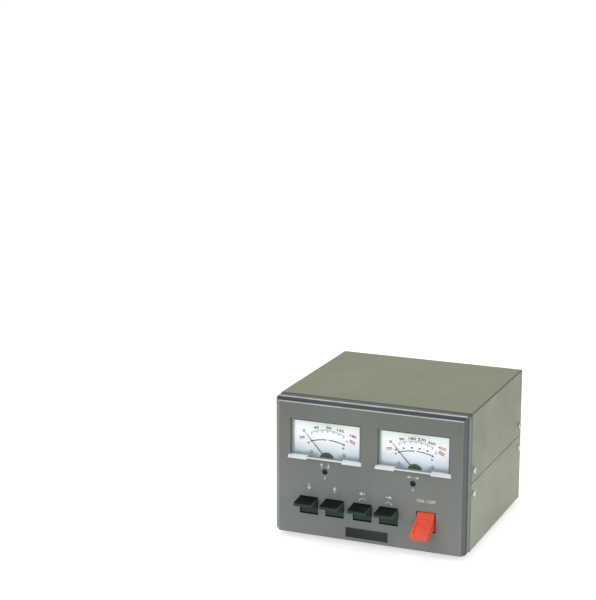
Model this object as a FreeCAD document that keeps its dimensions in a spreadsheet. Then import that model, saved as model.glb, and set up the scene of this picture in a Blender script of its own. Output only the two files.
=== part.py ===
import FreeCAD, Part
import math
import os
from types import SimpleNamespace
import Sketcher

# Antenna rotator controller: a folded steel case with a moulded front, two moving-coil meters,
# four paddle keys, a power paddle and a rear panel with terminals.
# Millimetres. +X is the object's right seen from its front, +Y is back, +Z is up.
# The origin is the middle of the bounding box at the level that the feet stand on.

SIZES = {
    # folded case
    "case_width": 200.0,
    "case_height": 141.0,
    "foot_height": 5.0,
    "cover_length": 172.8,
    "cover_gap": 1.2,
    "cover_wall": 1.0,
    "cover_bend": 1.6,
    "seam_height": 70.5,
    "seam_gap": 0.9,
    "panel_steel": 1.5,
    "rear_inset": 2.0,
    "panel_play": 0.3,
    "rail_steel": 1.2,
    "rail_height": 32.0,
    "rail_tab": 12.0,
    "tray_level": 8.0,
    "tray_half": 92.0,
    "tray_tab": 6.0,
    "tray_tab_x": 38.0,
    "tray_tab_width": 45.0,
    # moulded front
    "bezel_depth": 15.0,
    "bezel_bevel": 4.5,
    "bezel_draft": 0.6,
    "bezel_corner": 3.5,
    "bezel_wall": 3.5,
    "face_wall": 3.0,
    "boss_radius": 3.2,
    "badge_width": 44.2,
    "badge_height": 10.0,
    "badge_level": 9.1,
    "badge_shift": -1.6,
    "badge_plate": 1.2,
    "badge_seat": 0.6,
    # fasteners
    "side_screw_pitch": 24.0,
    "side_screw_front": 6.5,
    "side_screw_rear": 7.0,
    "pan_head_radius": 3.4,
    "pan_head_height": 1.8,
    "screw_radius": 1.9,
    "small_head_radius": 2.6,
    "small_screw_radius": 1.2,
    "screw_play": 0.3,
    # feet
    "foot_radius": 8.0,
    "foot_inset_x": 22.0,
    "foot_inset_y": 20.0,
    "foot_well": 2.8,
    # meters
    "meter_offset": 46.0,
    "window_width": 74.3,
    "window_height": 38.0,
    "window_level": 82.0,
    "window_lap": 1.6,
    "lens_wall": 1.0,
    "meter_wall": 3.1,
    "meter_foot": 64.0,
    "meter_floor": 1.6,
    "barrel_radius": 15.0,
    "barrel_wall": 1.6,
    "barrel_depth": 17.0,
    "pivot_level": 79.0,
    "dial_depth": 7.2,
    "dial_wall": 0.8,
    "dial_foot": 71.5,
    "dial_play": 0.2,
    "dial_hole": 6.5,
    "dial_screw_x": 17.4,
    "dial_screw_level": 85.5,
    "dial_screw_radius": 0.9,
    "hood_radius": 8.0,
    "hood_wall": 0.7,
    "hood_drop": 6.0,
    "hood_leg": 7.3,
    "adjuster_level": 68.5,
    "adjuster_hole": 3.0,
    "adjuster_radius": 2.5,
    "running_fit": 0.06,
    # meter movement
    "pointer_length": 35.0,
    "pointer_rest": 42.0,
    "pointer_depth": 5.5,
    "pointer_wall": 0.3,
    "hub_radius": 2.2,
    "spindle_radius": 0.6,
    "core_radius": 6.2,
    "coil_gap": 0.4,
    "coil_wall": 1.6,
    "coil_width": 2.2,
    "magnet_wall": 4.5,
    "magnet_length": 13.0,
    # sill under each window
    "sill_width": 77.2,
    "sill_reach": 3.0,
    "sill_height": 3.6,
    "sill_notch": 37.4,
    # paddle keys
    "key_group": -20.9,
    "key_pitch": 27.4,
    "key_pair_gap": 29.4,
    "key_opening_width": 19.8,
    "key_opening_height": 18.5,
    "key_level": 22.4,
    "key_side_gap": 0.5,
    "key_reach": 18.7,
    "key_edge": 0.7,
    "key_axle_level": 31.6,
    "axle_play": 0.1,
    "axle_radius": 1.5,
    "axle_length": 0.9,
    "frame_wall": 3.6,
    "frame_depth": 21.0,
    "heel_width": 10.0,
    "spring_steel": 0.4,
    "spring_width": 6.0,
    "board_wall": 1.6,
    # power paddle
    "power_shift": 59.8,
    "power_opening_width": 19.8,
    "power_opening_height": 20.6,
    "power_level": 20.9,
    "power_reach": 24.5,
    "paddle_edge": 0.8,
    "rocker_radius": 9.65,
    "rocker_axle_level": 31.2,
    "rocker_axle_depth": 3.0,
    "rocker_half_width": 8.7,
    "cheek_wall": 0.8,
    "rocker_rim": 2.3,
    # rear panel fittings
    "nut_radius": 9.0,
    "bush_reach": 14.0,
    "bush_flange_radius": 8.5,
    "bush_flange": 2.5,
    "bush_collar_radius": 6.6,
    "bush_collar": 5.5,
    "bush_tip_radius": 5.6,
    "bush_nut": 4.0,
    "bush_bore": 3.4,
    "bush_x": -75.0,
    "fuse_x": -50.0,
    "low_fitting_level": 27.0,
    "fuse_depth": 24.0,
    "fuse_room": 20.0,
    "fuse_collar_radius": 8.6,
    "fuse_collar": 2.0,
    "fuse_nut": 3.0,
    "fuse_cap_reach": 12.0,
    "fuse_cap_radius": 6.8,
    "fuse_stem": 3.0,
    "socket_level": 62.0,
    "socket_bore": 6.7,
    "socket_depth": 9.0,
    "socket_flange": 24.0,
    "socket_flange_wall": 1.6,
    "socket_corner": 3.0,
    "strip_offset": 48.0,
    "strip_level": 104.0,
    "strip_pitch": 10.0,
    "strip_height": 17.0,
    "strip_base": 5.0,
    "strip_ear": 5.0,
    "terminal_head_radius": 3.0,
    "terminal_head_height": 1.8,
    "barrier_height": 3.8,
    "barrier_wall": 2.0,
    "trimmer_first_x": 36.0,
    "trimmer_pitch": 22.0,
    "trimmer_level": 26.5,
    "trimmer_radius": 2.0,
    "trimmer_body_half": 4.8,
    "trimmer_body_depth": 7.0,
    # inside the case
    "transformer_x": -46.0,
    "transformer_depth": 100.0,
    "core_width": 66.0,
    "core_height": 55.0,
    "core_stack": 36.0,
    "core_leg": 11.0,
    "strap_steel": 1.5,
    "standoff_height": 10.0,
    "standoff_radius": 3.0,
    "main_board_left": 4.0,
    "main_board_right": 90.0,
    "main_board_front": 80.0,
    "main_board_rear": 181.5,
    "board_hole_inset": 6.0,
    "board_rear_inset": 14.0,
    "strap_foot": 9.0,
    "strap_width": 24.0,
    "relay_width": 12.0,
    "relay_length": 20.0,
    "relay_height": 16.0,
    "relay_pitch": 16.0,
}

os.makedirs("parts", exist_ok=True)
doc = FreeCAD.newDocument("RotatorController")
sheet = doc.addObject("Spreadsheet::Sheet", "Sizes")
for row, (alias, number) in enumerate(SIZES.items(), start=1):
    sheet.set(f"A{row}", alias)
    sheet.set(f"B{row}", str(number))
    sheet.setAlias(f"B{row}", alias)
doc.recompute()


class Size:
    """A length from the sheet, with the expression that gives it."""

    def __init__(self, text, value):
        self.text = text
        self.value = float(value)

    def __add__(self, other):
        other = as_size(other)
        return Size(f"({self.text} + {other.text})", self.value + other.value)

    def __sub__(self, other):
        other = as_size(other)
        return Size(f"({self.text} - {other.text})", self.value - other.value)

    def __mul__(self, other):
        other = as_size(other)
        return Size(f"({self.text} * {other.text})", self.value * other.value)

    def __truediv__(self, other):
        other = as_size(other)
        return Size(f"({self.text} / {other.text})", self.value / other.value)

    def __neg__(self):
        return Size(f"(0 - {self.text})", -self.value)

    def __radd__(self, other):
        return as_size(other) + self

    def __rsub__(self, other):
        return as_size(other) - self

    def __rmul__(self, other):
        return as_size(other) * self


def as_size(number):
    """A plain number as a Size."""
    if isinstance(number, Size):
        return number
    return Size(f"({float(number)})", number)


def root(square):
    """Square root of a Size."""
    return Size(f"sqrt({square.text})", math.sqrt(square.value))


S = SimpleNamespace(**{alias: Size(f"Sizes.{alias}", sheet.get(alias)) for alias in SIZES})
PIECES = {}

# Solids of the same kind that share one node
shared = {
    "side_rails": [],
    "dial_screws": [],
    "meter_lamps": [],
    "movement_hoods": [],
    "magnet_rings": [],
    "bearing_bridges": [],
    "iron_cores": [],
    "meter_sills": [],
    "terminal_strips": [],
}


def keep(label, piece):
    """Mark an object as a finished piece of the controller."""
    piece.Label = label
    PIECES[label] = piece
    return piece


def bind(piece, path, size):
    """Drive one property from the sheet."""
    piece.setExpression(path, as_size(size).text)


# Sketches: an outline is a list of corners (u, v) in order round the loop. A corner with four
# entries (u, v, centre_u, turn) starts an arc, whose centre has that u; turn is 1 when the
# arc runs anticlockwise and -1 when it runs clockwise. A circle is ("circle", u, v, radius).


def rectangle(left, right, low, high):
    """Outline of an upright rectangle."""
    return [(left, low), (right, low), (right, high), (left, high)]


def centred(middle_u, width, low, high):
    """Outline of an upright rectangle about a middle line."""
    return rectangle(middle_u - width / 2, middle_u + width / 2, low, high)


def rounded(left, right, low, high, radius):
    """Outline of an upright rectangle with round corners."""
    return [
        (left + radius, low),
        (right - radius, low, right - radius, 1),
        (right, low + radius),
        (right, high - radius, right - radius, 1),
        (right - radius, high),
        (left + radius, high, left + radius, 1),
        (left, high - radius),
        (left, low + radius, left + radius, 1),
    ]


def cut_corners(left, right, low, high, cut):
    """Outline of an upright rectangle with its corners cut off."""
    return [
        (left + cut, low),
        (right - cut, low),
        (right, low + cut),
        (right, high - cut),
        (right - cut, high),
        (left + cut, high),
        (left, high - cut),
        (left, low + cut),
    ]


def circle(u, v, radius):
    """A round outline."""
    return ("circle", u, v, radius)


# Small or hidden round forms are drawn with this many flat sides
SHANK_SIDES = 6
HEAD_SIDES = 10
AXLE_SIDES = 16
RING_SIDES = 20
SEAT_EASE = math.cos(math.pi / AXLE_SIDES)


def many_sided(u, v, radius, sides):
    """Outline of a regular polygon inside a circle, with a corner on the u axis."""
    turn = 2 * math.pi / sides
    return [
        (u + radius * math.cos(turn * corner), v + radius * math.sin(turn * corner))
        for corner in range(sides)
    ]


def pin(sketch, kind, geometry, point, size):
    """Hold one coordinate of a sketch point at a size."""
    size = as_size(size)
    index = sketch.addConstraint(Sketcher.Constraint(kind, -1, 1, geometry, point, size.value))
    sketch.setExpression(f"Constraints[{index}]", size.text)


def draw_circle(sketch, u, v, radius):
    """Add a round outline to a sketch."""
    u, v, radius = as_size(u), as_size(v), as_size(radius)
    centre = FreeCAD.Vector(u.value, v.value, 0)
    ring = sketch.addGeometry(Part.Circle(centre, FreeCAD.Vector(0, 0, 1), radius.value))
    pin(sketch, "DistanceX", ring, 3, u)
    pin(sketch, "DistanceY", ring, 3, v)
    index = sketch.addConstraint(Sketcher.Constraint("Radius", ring, radius.value))
    sketch.setExpression(f"Constraints[{index}]", radius.text)


def draw_outline(sketch, corners):
    """Add a closed outline of lines and arcs to a sketch."""
    corners = [tuple(as_size(entry) for entry in corner[:3]) + corner[3:] for corner in corners]
    ends = []
    for number, corner in enumerate(corners):
        following = corners[(number + 1) % len(corners)]
        start = FreeCAD.Vector(corner[0].value, corner[1].value, 0)
        finish = FreeCAD.Vector(following[0].value, following[1].value, 0)
        if len(corner) == 2:
            ends.append((sketch.addGeometry(Part.LineSegment(start, finish)), 1, 2))
            continue
        first, last = (start, finish) if corner[3] > 0 else (finish, start)
        middle = arc_centre(start, finish, corner[2].value)
        angles = [math.atan2(p.y - middle.y, p.x - middle.x) for p in (first, last)]
        ring = Part.Circle(middle, FreeCAD.Vector(0, 0, 1), (start - middle).Length)
        arc = sketch.addGeometry(Part.ArcOfCircle(ring, angles[0], angles[1]))
        pin(sketch, "DistanceX", arc, 3, corner[2])
        ends.append((arc, 1, 2) if corner[3] > 0 else (arc, 2, 1))
    for number, corner in enumerate(corners):
        geometry, start, _ = ends[number]
        before, _, finish = ends[number - 1]
        sketch.addConstraint(Sketcher.Constraint("Coincident", before, finish, geometry, start))
        pin(sketch, "DistanceX", geometry, start, corner[0])
        pin(sketch, "DistanceY", geometry, start, corner[1])


def arc_centre(start, finish, across):
    """Centre of the arc through two points, on the upright line u = across."""
    middle = (start + finish) / 2
    along = finish - start
    return FreeCAD.Vector(across, middle.y - (across - middle.x) * along.x / along.y, 0)


def sketch_on(body, plane, level, loops):
    """A sketch on a plane across X, Y or Z at a level. Its u and v are world coordinates."""
    sketch = body.newObject("Sketcher::SketchObject", "Outline")
    role = {"X": "YZ_Plane", "Y": "XZ_Plane", "Z": "XY_Plane"}[plane]
    base = next(item for item in body.Origin.OriginFeatures if item.Role == role)
    sketch.AttachmentSupport = [(base, "")]
    sketch.MapMode = "FlatFace"
    level = as_size(level)
    bind(sketch, "AttachmentOffset.Base.z", -level if plane == "Y" else level)
    for loop in loops:
        if loop[0] == "circle":
            draw_circle(sketch, *loop[1:])
        else:
            draw_outline(sketch, loop)
    return sketch


def part_body(label):
    """An empty body for one solid of a shared node."""
    body = doc.addObject("PartDesign::Body", label)
    body.Label = label
    return body


def new_body(label):
    """An empty body that makes one piece."""
    return keep(label, part_body(label))


def grow(body, plane, low, high, loops):
    """Pad outlines across X, Y or Z between two levels."""
    pad = body.newObject("PartDesign::Pad", "Pad")
    pad.Profile = sketch_on(body, plane, low, loops)
    bind(pad, "Length", as_size(high) - low)
    pad.Reversed = plane == "Y"
    body.Tip = pad
    return pad


def sink(body, plane, low, high, loops):
    """Pocket outlines across X, Y or Z between two levels."""
    pocket = body.newObject("PartDesign::Pocket", "Pocket")
    pocket.Profile = sketch_on(body, plane, low, loops)
    bind(pocket, "Length", as_size(high) - low)
    pocket.Reversed = plane != "Y"
    body.Tip = pocket
    return pocket


def repeat(body, feature, role, count, pitch):
    """Repeat one feature of a body along an axis of the body."""
    pattern = body.newObject("PartDesign::LinearPattern", "Row")
    pattern.Originals = [feature]
    axis = next(item for item in body.Origin.OriginFeatures if item.Role == role)
    pattern.Direction = (axis, [""])
    pattern.Occurrences = count
    bind(pattern, "Length", pitch * (count - 1))
    body.Tip = pattern
    return pattern


def edges_where(body, test):
    """Names of the straight edges whose two ends both pass a test."""
    doc.recompute()
    names = []
    for number, edge in enumerate(body.Tip.Shape.Edges, start=1):
        if edge.Curve.TypeId == "Part::GeomLine" and all(test(end.Point) for end in edge.Vertexes):
            names.append(f"Edge{number}")
    return names


def round_off(body, names, radius):
    """Fillet the named edges of a body."""
    base = body.Tip
    fillet = body.newObject("PartDesign::Fillet", "Fillet")
    fillet.Base = (base, names)
    bind(fillet, "Radius", radius)
    body.Tip = fillet


def chamfer_off(body, names, size):
    """Break the named edges of a body with a narrow flat."""
    base = body.Tip
    chamfer = body.newObject("PartDesign::Chamfer", "Chamfer")
    chamfer.Base = (base, names)
    bind(chamfer, "Size", size)
    body.Tip = chamfer


X_AXIS = FreeCAD.Vector(1, 0, 0)
Y_AXIS = FreeCAD.Vector(0, 1, 0)
Z_AXIS = FreeCAD.Vector(0, 0, 1)
TURNS = {
    "X": FreeCAD.Rotation(Y_AXIS, Z_AXIS, X_AXIS, "ZXY"),
    "Y": FreeCAD.Rotation(X_AXIS, -90),
    "Z": FreeCAD.Rotation(),
}


def put(piece, x, y, z):
    """Place a primitive from the sheet."""
    bind(piece, "Placement.Base.x", x)
    bind(piece, "Placement.Base.y", y)
    bind(piece, "Placement.Base.z", z)
    return piece


def block(x, y, z):
    """A box between pairs of levels along X, Y and Z."""
    piece = doc.addObject("Part::Box", "Block")
    bind(piece, "Length", as_size(x[1]) - x[0])
    bind(piece, "Width", as_size(y[1]) - y[0])
    bind(piece, "Height", as_size(z[1]) - z[0])
    return put(piece, x[0], y[0], z[0])


def rod(axis, start, radius, length):
    """A cylinder from a start point along X, Y or Z."""
    piece = doc.addObject("Part::Cylinder", "Rod")
    piece.Placement = FreeCAD.Placement(FreeCAD.Vector(), TURNS[axis])
    bind(piece, "Radius", radius)
    bind(piece, "Height", length)
    return put(piece, *start)


def prism(axis, start, radius, length, sides):
    """A many-sided rod from a start point along X, Y or Z."""
    piece = doc.addObject("Part::Prism", "Prism")
    piece.Polygon = sides
    piece.Placement = FreeCAD.Placement(FreeCAD.Vector(), TURNS[axis])
    bind(piece, "Circumradius", radius)
    bind(piece, "Height", length)
    return put(piece, *start)


def joined(*members):
    """Fuse members into one solid."""
    piece = doc.addObject("Part::MultiFuse", "Joined")
    piece.Shapes = list(members)
    return piece


def without(base, *tools):
    """Cut tools out of a base."""
    piece = doc.addObject("Part::Cut", "Cut")
    piece.Base = base
    piece.Tool = tools[0] if len(tools) == 1 else joined(*tools)
    return piece


def group(label, members):
    """Separate solids that share one node."""
    piece = doc.addObject("Part::Compound", label)
    piece.Links = list(members)
    return keep(label, piece)


def shifted(axis, start, length):
    """A point moved along X, Y or Z."""
    return tuple(place + length if name == axis else place for name, place in zip("XYZ", start))


def screw(axis, seat, head, grip, shank_radius, head_sides=HEAD_SIDES):
    """A screw with its head (radius, height) on a seat, facing along the axis."""
    return joined(
        prism(axis, seat, head[0], head[1], head_sides),
        prism(axis, shifted(axis, seat, -as_size(grip)), shank_radius, grip, SHANK_SIDES),
    )


# Levels that several pieces share
overall_length = (
    S.power_reach + S.bezel_depth + S.cover_gap + S.cover_length - S.rear_inset + S.bush_reach
)
face_y = S.power_reach - overall_length / 2
bezel_back_y = face_y + S.bezel_depth
subpanel_back_y = bezel_back_y + S.panel_steel
cover_front_y = bezel_back_y + S.cover_gap
cover_rear_y = cover_front_y + S.cover_length
rear_y = cover_rear_y - S.rear_inset
rear_inner_y = rear_y - S.panel_steel
side_x = S.case_width / 2
lining_x = side_x - S.cover_wall
base_z = S.foot_height
top_z = base_z + S.case_height
seam_z = base_z + S.seam_height
face_back_y = face_y + S.face_wall
panel_half = lining_x - S.panel_play
panel_low_z = base_z + S.cover_wall + S.panel_play
panel_high_z = top_z - S.cover_wall - S.panel_play
tray_top_z = base_z + S.tray_level + S.panel_steel


def level(size):
    """Height above the underside of the case."""
    return base_z + size


def depth(size):
    """Distance behind the face."""
    return face_y + size


key_middles = [
    S.key_group - S.key_pair_gap / 2 - S.key_pitch,
    S.key_group - S.key_pair_gap / 2,
    S.key_group + S.key_pair_gap / 2,
    S.key_group + S.key_pair_gap / 2 + S.key_pitch,
]
meter_middles = {"left": -S.meter_offset, "right": S.meter_offset}
window_low_z = level(S.window_level)
window_high_z = window_low_z + S.window_height
meter_half = S.window_width / 2 + S.window_lap
meter_low_z = level(S.meter_foot)
meter_high_z = window_high_z + S.window_lap
pivot_z = level(S.pivot_level)
adjuster_z = level(S.adjuster_level)
lens_back_y = face_back_y + S.lens_wall
dial_y = depth(S.dial_depth)
dial_back_y = dial_y + S.dial_wall
meter_floor_y = bezel_back_y - S.meter_floor
barrel_end_y = bezel_back_y + S.barrel_depth
barrel_floor_y = barrel_end_y - S.barrel_wall
frame_left = key_middles[0] - S.key_opening_width / 2 - S.frame_wall
frame_right = key_middles[3] + S.key_opening_width / 2 + S.frame_wall
frame_low_z = level(S.key_level) - 2.4
frame_high_z = level(S.key_level) + S.key_opening_height + 3.1
frame_back_y = face_back_y + S.frame_depth
frame_ear = 5.6
ear_post_radius = as_size(1.2)
ear_z = level(S.key_axle_level)
housing_half = S.rocker_half_width + 0.25 + S.cheek_wall + 1.7
corner_boss_x = side_x - 10.0
boss_spots = [
    (-corner_boss_x, level(14.0)),
    (corner_boss_x, level(14.0)),
    (-corner_boss_x, top_z - 12.0),
    (corner_boss_x, top_z - 12.0),
    (as_size(0.0), level(14.5)),
    (as_size(0.0), top_z - 10.0),
]


def make_front_bezel():
    """Moulded front: hollow tray with a bevelled face and the openings of the controls."""
    body = new_body("front_bezel")
    bevel_y = face_y + S.bezel_bevel
    grow(body, "Y", bevel_y, bezel_back_y, [rounded(-side_x, side_x, base_z, top_z, S.bezel_corner)])
    bevel = body.newObject("PartDesign::AdditiveLoft", "Bevel")
    inset = S.bezel_bevel
    low_z = base_z + S.bezel_draft
    inner = rounded(-side_x + inset, side_x - inset, low_z, top_z - inset, S.bezel_draft)
    bevel.Profile = sketch_on(
        body, "Y", bevel_y, [rounded(-side_x, side_x, base_z, top_z, S.bezel_corner)]
    )
    bevel.Sections = [(sketch_on(body, "Y", face_y, [inner]), [""])]
    bevel.Ruled = True
    body.Tip = bevel
    cavity_x = side_x - S.bezel_wall
    cavity = rectangle(-cavity_x, cavity_x, base_z + S.bezel_wall, top_z - S.bezel_wall)
    sink(body, "Y", face_back_y, bezel_back_y, [cavity])
    windows = [
        centred(middle, S.window_width, window_low_z, window_high_z)
        for middle in meter_middles.values()
    ]
    key_low_z = level(S.key_level)
    keys = [
        centred(middle, S.key_opening_width, key_low_z, key_low_z + S.key_opening_height)
        for middle in key_middles
    ]
    power_low_z = level(S.power_level)
    power = centred(
        S.power_shift, S.power_opening_width, power_low_z, power_low_z + S.power_opening_height
    )
    adjusters = [
        circle(middle, adjuster_z, S.adjuster_hole) for middle in meter_middles.values()
    ]
    sink(body, "Y", face_y, face_back_y, windows + keys + [power] + adjusters)
    play = S.panel_play
    badge_low_z = level(S.badge_level) - S.badge_height / 2 - play / 2
    badge = centred(
        S.badge_shift, S.badge_width + play, badge_low_z, badge_low_z + S.badge_height + play
    )
    sink(body, "Y", face_y, face_y + S.badge_seat, [badge])
    bosses = [many_sided(x, z, S.boss_radius, SHANK_SIDES) for x, z in boss_spots]
    grow(body, "Y", face_back_y, bezel_back_y, bosses)
    posts = [
        many_sided(x, ear_z, ear_post_radius, SHANK_SIDES)
        for x in (frame_left - frame_ear / 2, frame_right + frame_ear / 2)
    ]
    grow(body, "Y", face_back_y, face_back_y + 3.5, posts)
    pilot = S.small_screw_radius + S.running_fit
    holes = [many_sided(x, z, pilot, SHANK_SIDES) for x, z in boss_spots]
    sink(body, "Y", face_back_y + 2.0, bezel_back_y, holes)


def make_badge_plate():
    """Bare plate in its shallow seat under the keys."""
    body = new_body("badge_plate")
    low_z = level(S.badge_level) - S.badge_height / 2
    outline = centred(S.badge_shift, S.badge_width, low_z, low_z + S.badge_height)
    seat_y = face_y + S.badge_seat
    grow(body, "Y", seat_y - S.badge_plate, seat_y, [outline])


def cover_profile(outer_z, seam, way):
    """Folded section of one cover. way is 1 for the bottom cover and -1 for the top cover."""
    wall, bend = S.cover_wall, S.cover_bend
    inner_bend = bend - wall
    inner_z = outer_z + way * wall
    arc_z = outer_z + way * bend
    return [
        (-side_x, seam),
        (-side_x, arc_z, -side_x + bend, way),
        (-side_x + bend, outer_z),
        (side_x - bend, outer_z, side_x - bend, way),
        (side_x, arc_z),
        (side_x, seam),
        (lining_x, seam),
        (lining_x, inner_z + way * inner_bend, lining_x - inner_bend, -way),
        (lining_x - inner_bend, inner_z),
        (-lining_x + inner_bend, inner_z, -lining_x + inner_bend, -way),
        (-lining_x, inner_z + way * inner_bend),
        (-lining_x, seam),
    ]


side_screw_ys = (cover_front_y + S.side_screw_front, cover_rear_y - S.side_screw_rear)
foot_spots = [
    (x, y)
    for x in (-side_x + S.foot_inset_x, side_x - S.foot_inset_x)
    for y in (cover_front_y + S.foot_inset_y, cover_rear_y - S.foot_inset_y)
]


def make_covers():
    """Two folded covers that meet at the seam half way up the sides."""
    hole = S.screw_radius + S.screw_play
    for label, outer_z, way in (("bottom_cover", base_z, 1), ("top_cover", top_z, -1)):
        body = new_body(label)
        seam = seam_z - way * S.seam_gap / 2
        grow(body, "Y", cover_front_y, cover_rear_y, [cover_profile(outer_z, seam, way)])
        holes_z = seam_z - way * S.side_screw_pitch / 2
        holes = [many_sided(y, holes_z, hole, SHANK_SIDES) for y in side_screw_ys]
        sink(body, "X", -side_x - 1.0, side_x + 1.0, holes)
        if way < 0:
            continue
        foot_holes = [many_sided(x, y, hole, SHANK_SIDES) for x, y in foot_spots]
        sink(body, "Z", base_z, base_z + S.cover_wall, foot_holes)
        slot_y = depth(S.transformer_depth) - 22.0
        slot = sink(
            body,
            "Z",
            base_z,
            base_z + S.cover_wall,
            [centred(S.transformer_x - 31.5, as_size(3.0), slot_y, slot_y + 44.0)],
        )
        repeat(body, slot, "X_Axis", 8, as_size(9.0))


def make_cover_screws():
    """Eight pan-head screws, two beside each seam end."""
    screws = []
    for y in side_screw_ys:
        for way in (-1, 1):
            z = seam_z + way * S.side_screw_pitch / 2
            for side in (-1, 1):
                grip = S.cover_wall + S.rail_steel + 2.0
                piece = screw("X", (side_x, y, z), pan_head, grip, S.screw_radius)
                if side < 0:
                    turned = doc.addObject("Part::Mirroring", "Turned")
                    turned.Source = piece
                    turned.Normal = X_AXIS
                    piece = turned
                screws.append(piece)
    group("cover_screws", screws)


def make_frame_sheets():
    """Sub-panel, rear panel, side rails and tray: the folded frame inside the covers."""
    sub = new_body("front_subpanel")
    grow(
        sub,
        "Y",
        bezel_back_y,
        subpanel_back_y,
        [rectangle(-panel_half, panel_half, panel_low_z, panel_high_z)],
    )
    barrel_hole = S.barrel_radius + 0.5
    barrels = [many_sided(x, pivot_z, barrel_hole, RING_SIDES) for x in meter_middles.values()]
    keys = rectangle(frame_left - 1.5, frame_right + 1.5, frame_low_z - 1.0, frame_high_z + 3.0)
    power = centred(
        S.power_shift, housing_half * 2 + 2.0, level(S.power_level) - 3.5, level(S.power_level) + 24.5
    )
    small_hole = S.small_screw_radius + S.screw_play
    screws = [many_sided(x, z, small_hole, SHANK_SIDES) for x, z in boss_spots]
    sink(sub, "Y", bezel_back_y, subpanel_back_y, barrels + [keys, power] + screws)

    rear = new_body("rear_panel")
    grow(
        rear,
        "Y",
        rear_inner_y,
        rear_y,
        [rectangle(-panel_half, panel_half, panel_low_z, panel_high_z)],
    )
    low_fitting_z = level(S.low_fitting_level)
    holes = [
        many_sided(S.bush_x, low_fitting_z, bush_body + 0.1, HEAD_SIDES),
        many_sided(S.fuse_x, low_fitting_z, fuse_body + 0.1, HEAD_SIDES),
        many_sided(as_size(0.0), level(S.socket_level), socket_body + 0.1, HEAD_SIDES),
    ]
    holes += [
        many_sided(x, level(S.trimmer_level), S.trimmer_radius + 0.6, HEAD_SIDES)
        for x in trimmer_middles.values()
    ]
    screw_hole = S.screw_radius + S.screw_play
    holes += [many_sided(x, z, screw_hole, SHANK_SIDES) for x, z in rail_screw_spots]
    sink(rear, "Y", rear_inner_y, rear_y, holes)

    rail_low_z = seam_z - S.rail_height / 2
    rail_high_z = seam_z + S.rail_height / 2
    rail_x = lining_x - S.rail_steel
    tap = S.screw_radius + S.running_fit
    for label, way in (("side_rail_left", -1), ("side_rail_right", 1)):
        rail = part_body(label)
        shared["side_rails"].append(rail)
        outline = [
            (way * lining_x, subpanel_back_y),
            (way * (rail_x - S.rail_tab), subpanel_back_y),
            (way * (rail_x - S.rail_tab), subpanel_back_y + S.rail_steel),
            (way * rail_x, subpanel_back_y + S.rail_steel),
            (way * rail_x, rear_inner_y - S.rail_steel),
            (way * (rail_x - S.rail_tab), rear_inner_y - S.rail_steel),
            (way * (rail_x - S.rail_tab), rear_inner_y),
            (way * lining_x, rear_inner_y),
        ]
        grow(rail, "Z", rail_low_z, rail_high_z, [outline])
        taps = [
            many_sided(y, seam_z + side * S.side_screw_pitch / 2, tap, SHANK_SIDES)
            for y in side_screw_ys
            for side in (-1, 1)
        ]
        inner, outer = sorted((way * rail_x, way * lining_x), key=lambda size: size.value)
        sink(rail, "X", inner, outer, taps)
        rear_taps = [
            many_sided(x, z, tap, SHANK_SIDES)
            for x, z in rail_screw_spots
            if x.value * way > 0
        ]
        sink(rail, "Y", rear_inner_y - S.rail_steel, rear_inner_y, rear_taps)

    tray = new_body("chassis_tray")
    low_z = level(S.tray_level)
    steel = S.panel_steel
    section = [
        (-S.tray_half, base_z + S.cover_wall),
        (-S.tray_half + steel, base_z + S.cover_wall),
        (-S.tray_half + steel, low_z),
        (S.tray_half - steel, low_z),
        (S.tray_half - steel, base_z + S.cover_wall),
        (S.tray_half, base_z + S.cover_wall),
        (S.tray_half, tray_top_z),
        (-S.tray_half, tray_top_z),
    ]
    grow(tray, "Y", subpanel_back_y, rear_inner_y, [section])
    tab_high_z = tray_top_z + S.tray_tab
    tabs = [centred(side * S.tray_tab_x, S.tray_tab_width, tray_top_z, tab_high_z) for side in (-1, 1)]
    grow(tray, "Y", subpanel_back_y, subpanel_back_y + steel, tabs)
    grow(tray, "Y", rear_inner_y - steel, rear_inner_y, tabs)


bush_body = as_size(6.3)
fuse_body = as_size(6.0)
socket_body = as_size(8.6)
trimmer_middles = {"left": S.trimmer_first_x, "right": S.trimmer_first_x + S.trimmer_pitch}
pan_head = (S.pan_head_radius, S.pan_head_height)
rail_screw_spots = [
    (side * (lining_x - S.rail_steel - S.rail_tab / 2), seam_z + way * 10.0)
    for side in (-1, 1)
    for way in (-1, 1)
]


def make_fasteners():
    """Bezel screws behind the sub-panel and rear panel screws into the rails."""
    small_head = (S.small_head_radius, as_size(1.6))
    bezel_screws = [
        screw("Y", (x, subpanel_back_y, z), small_head, 9.0, S.small_screw_radius, head_sides=6)
        for x, z in boss_spots
    ]
    group("bezel_screws", bezel_screws)
    panel_screws = []
    grip = S.panel_steel + S.rail_steel + 1.5
    for x, z in rail_screw_spots:
        panel_screws.append(screw("Y", (x, rear_y, z), pan_head, grip, S.screw_radius))
    group("panel_screws", panel_screws)


def make_feet():
    """Four rubber feet, each held by a screw in a well."""
    feet = []
    screws = []
    head_z = S.foot_well
    for x, y in foot_spots:
        pad = prism("Z", (x, y, 0.0), S.foot_radius, S.foot_height, AXLE_SIDES)
        well = prism("Z", (x, y, 0.0), 3.6, head_z, HEAD_SIDES)
        hole = prism("Z", (x, y, 0.0), S.screw_radius + S.screw_play, S.foot_height, SHANK_SIDES)
        feet.append(without(pad, joined(well, hole)))
        head = prism("Z", (x, y, head_z - 1.6), 3.2, 1.6, HEAD_SIDES)
        shank = prism("Z", (x, y, head_z), S.screw_radius, 6.0, SHANK_SIDES)
        screws.append(joined(head, shank))
    group("rubber_feet", feet)
    group("foot_screws", screws)


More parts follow.
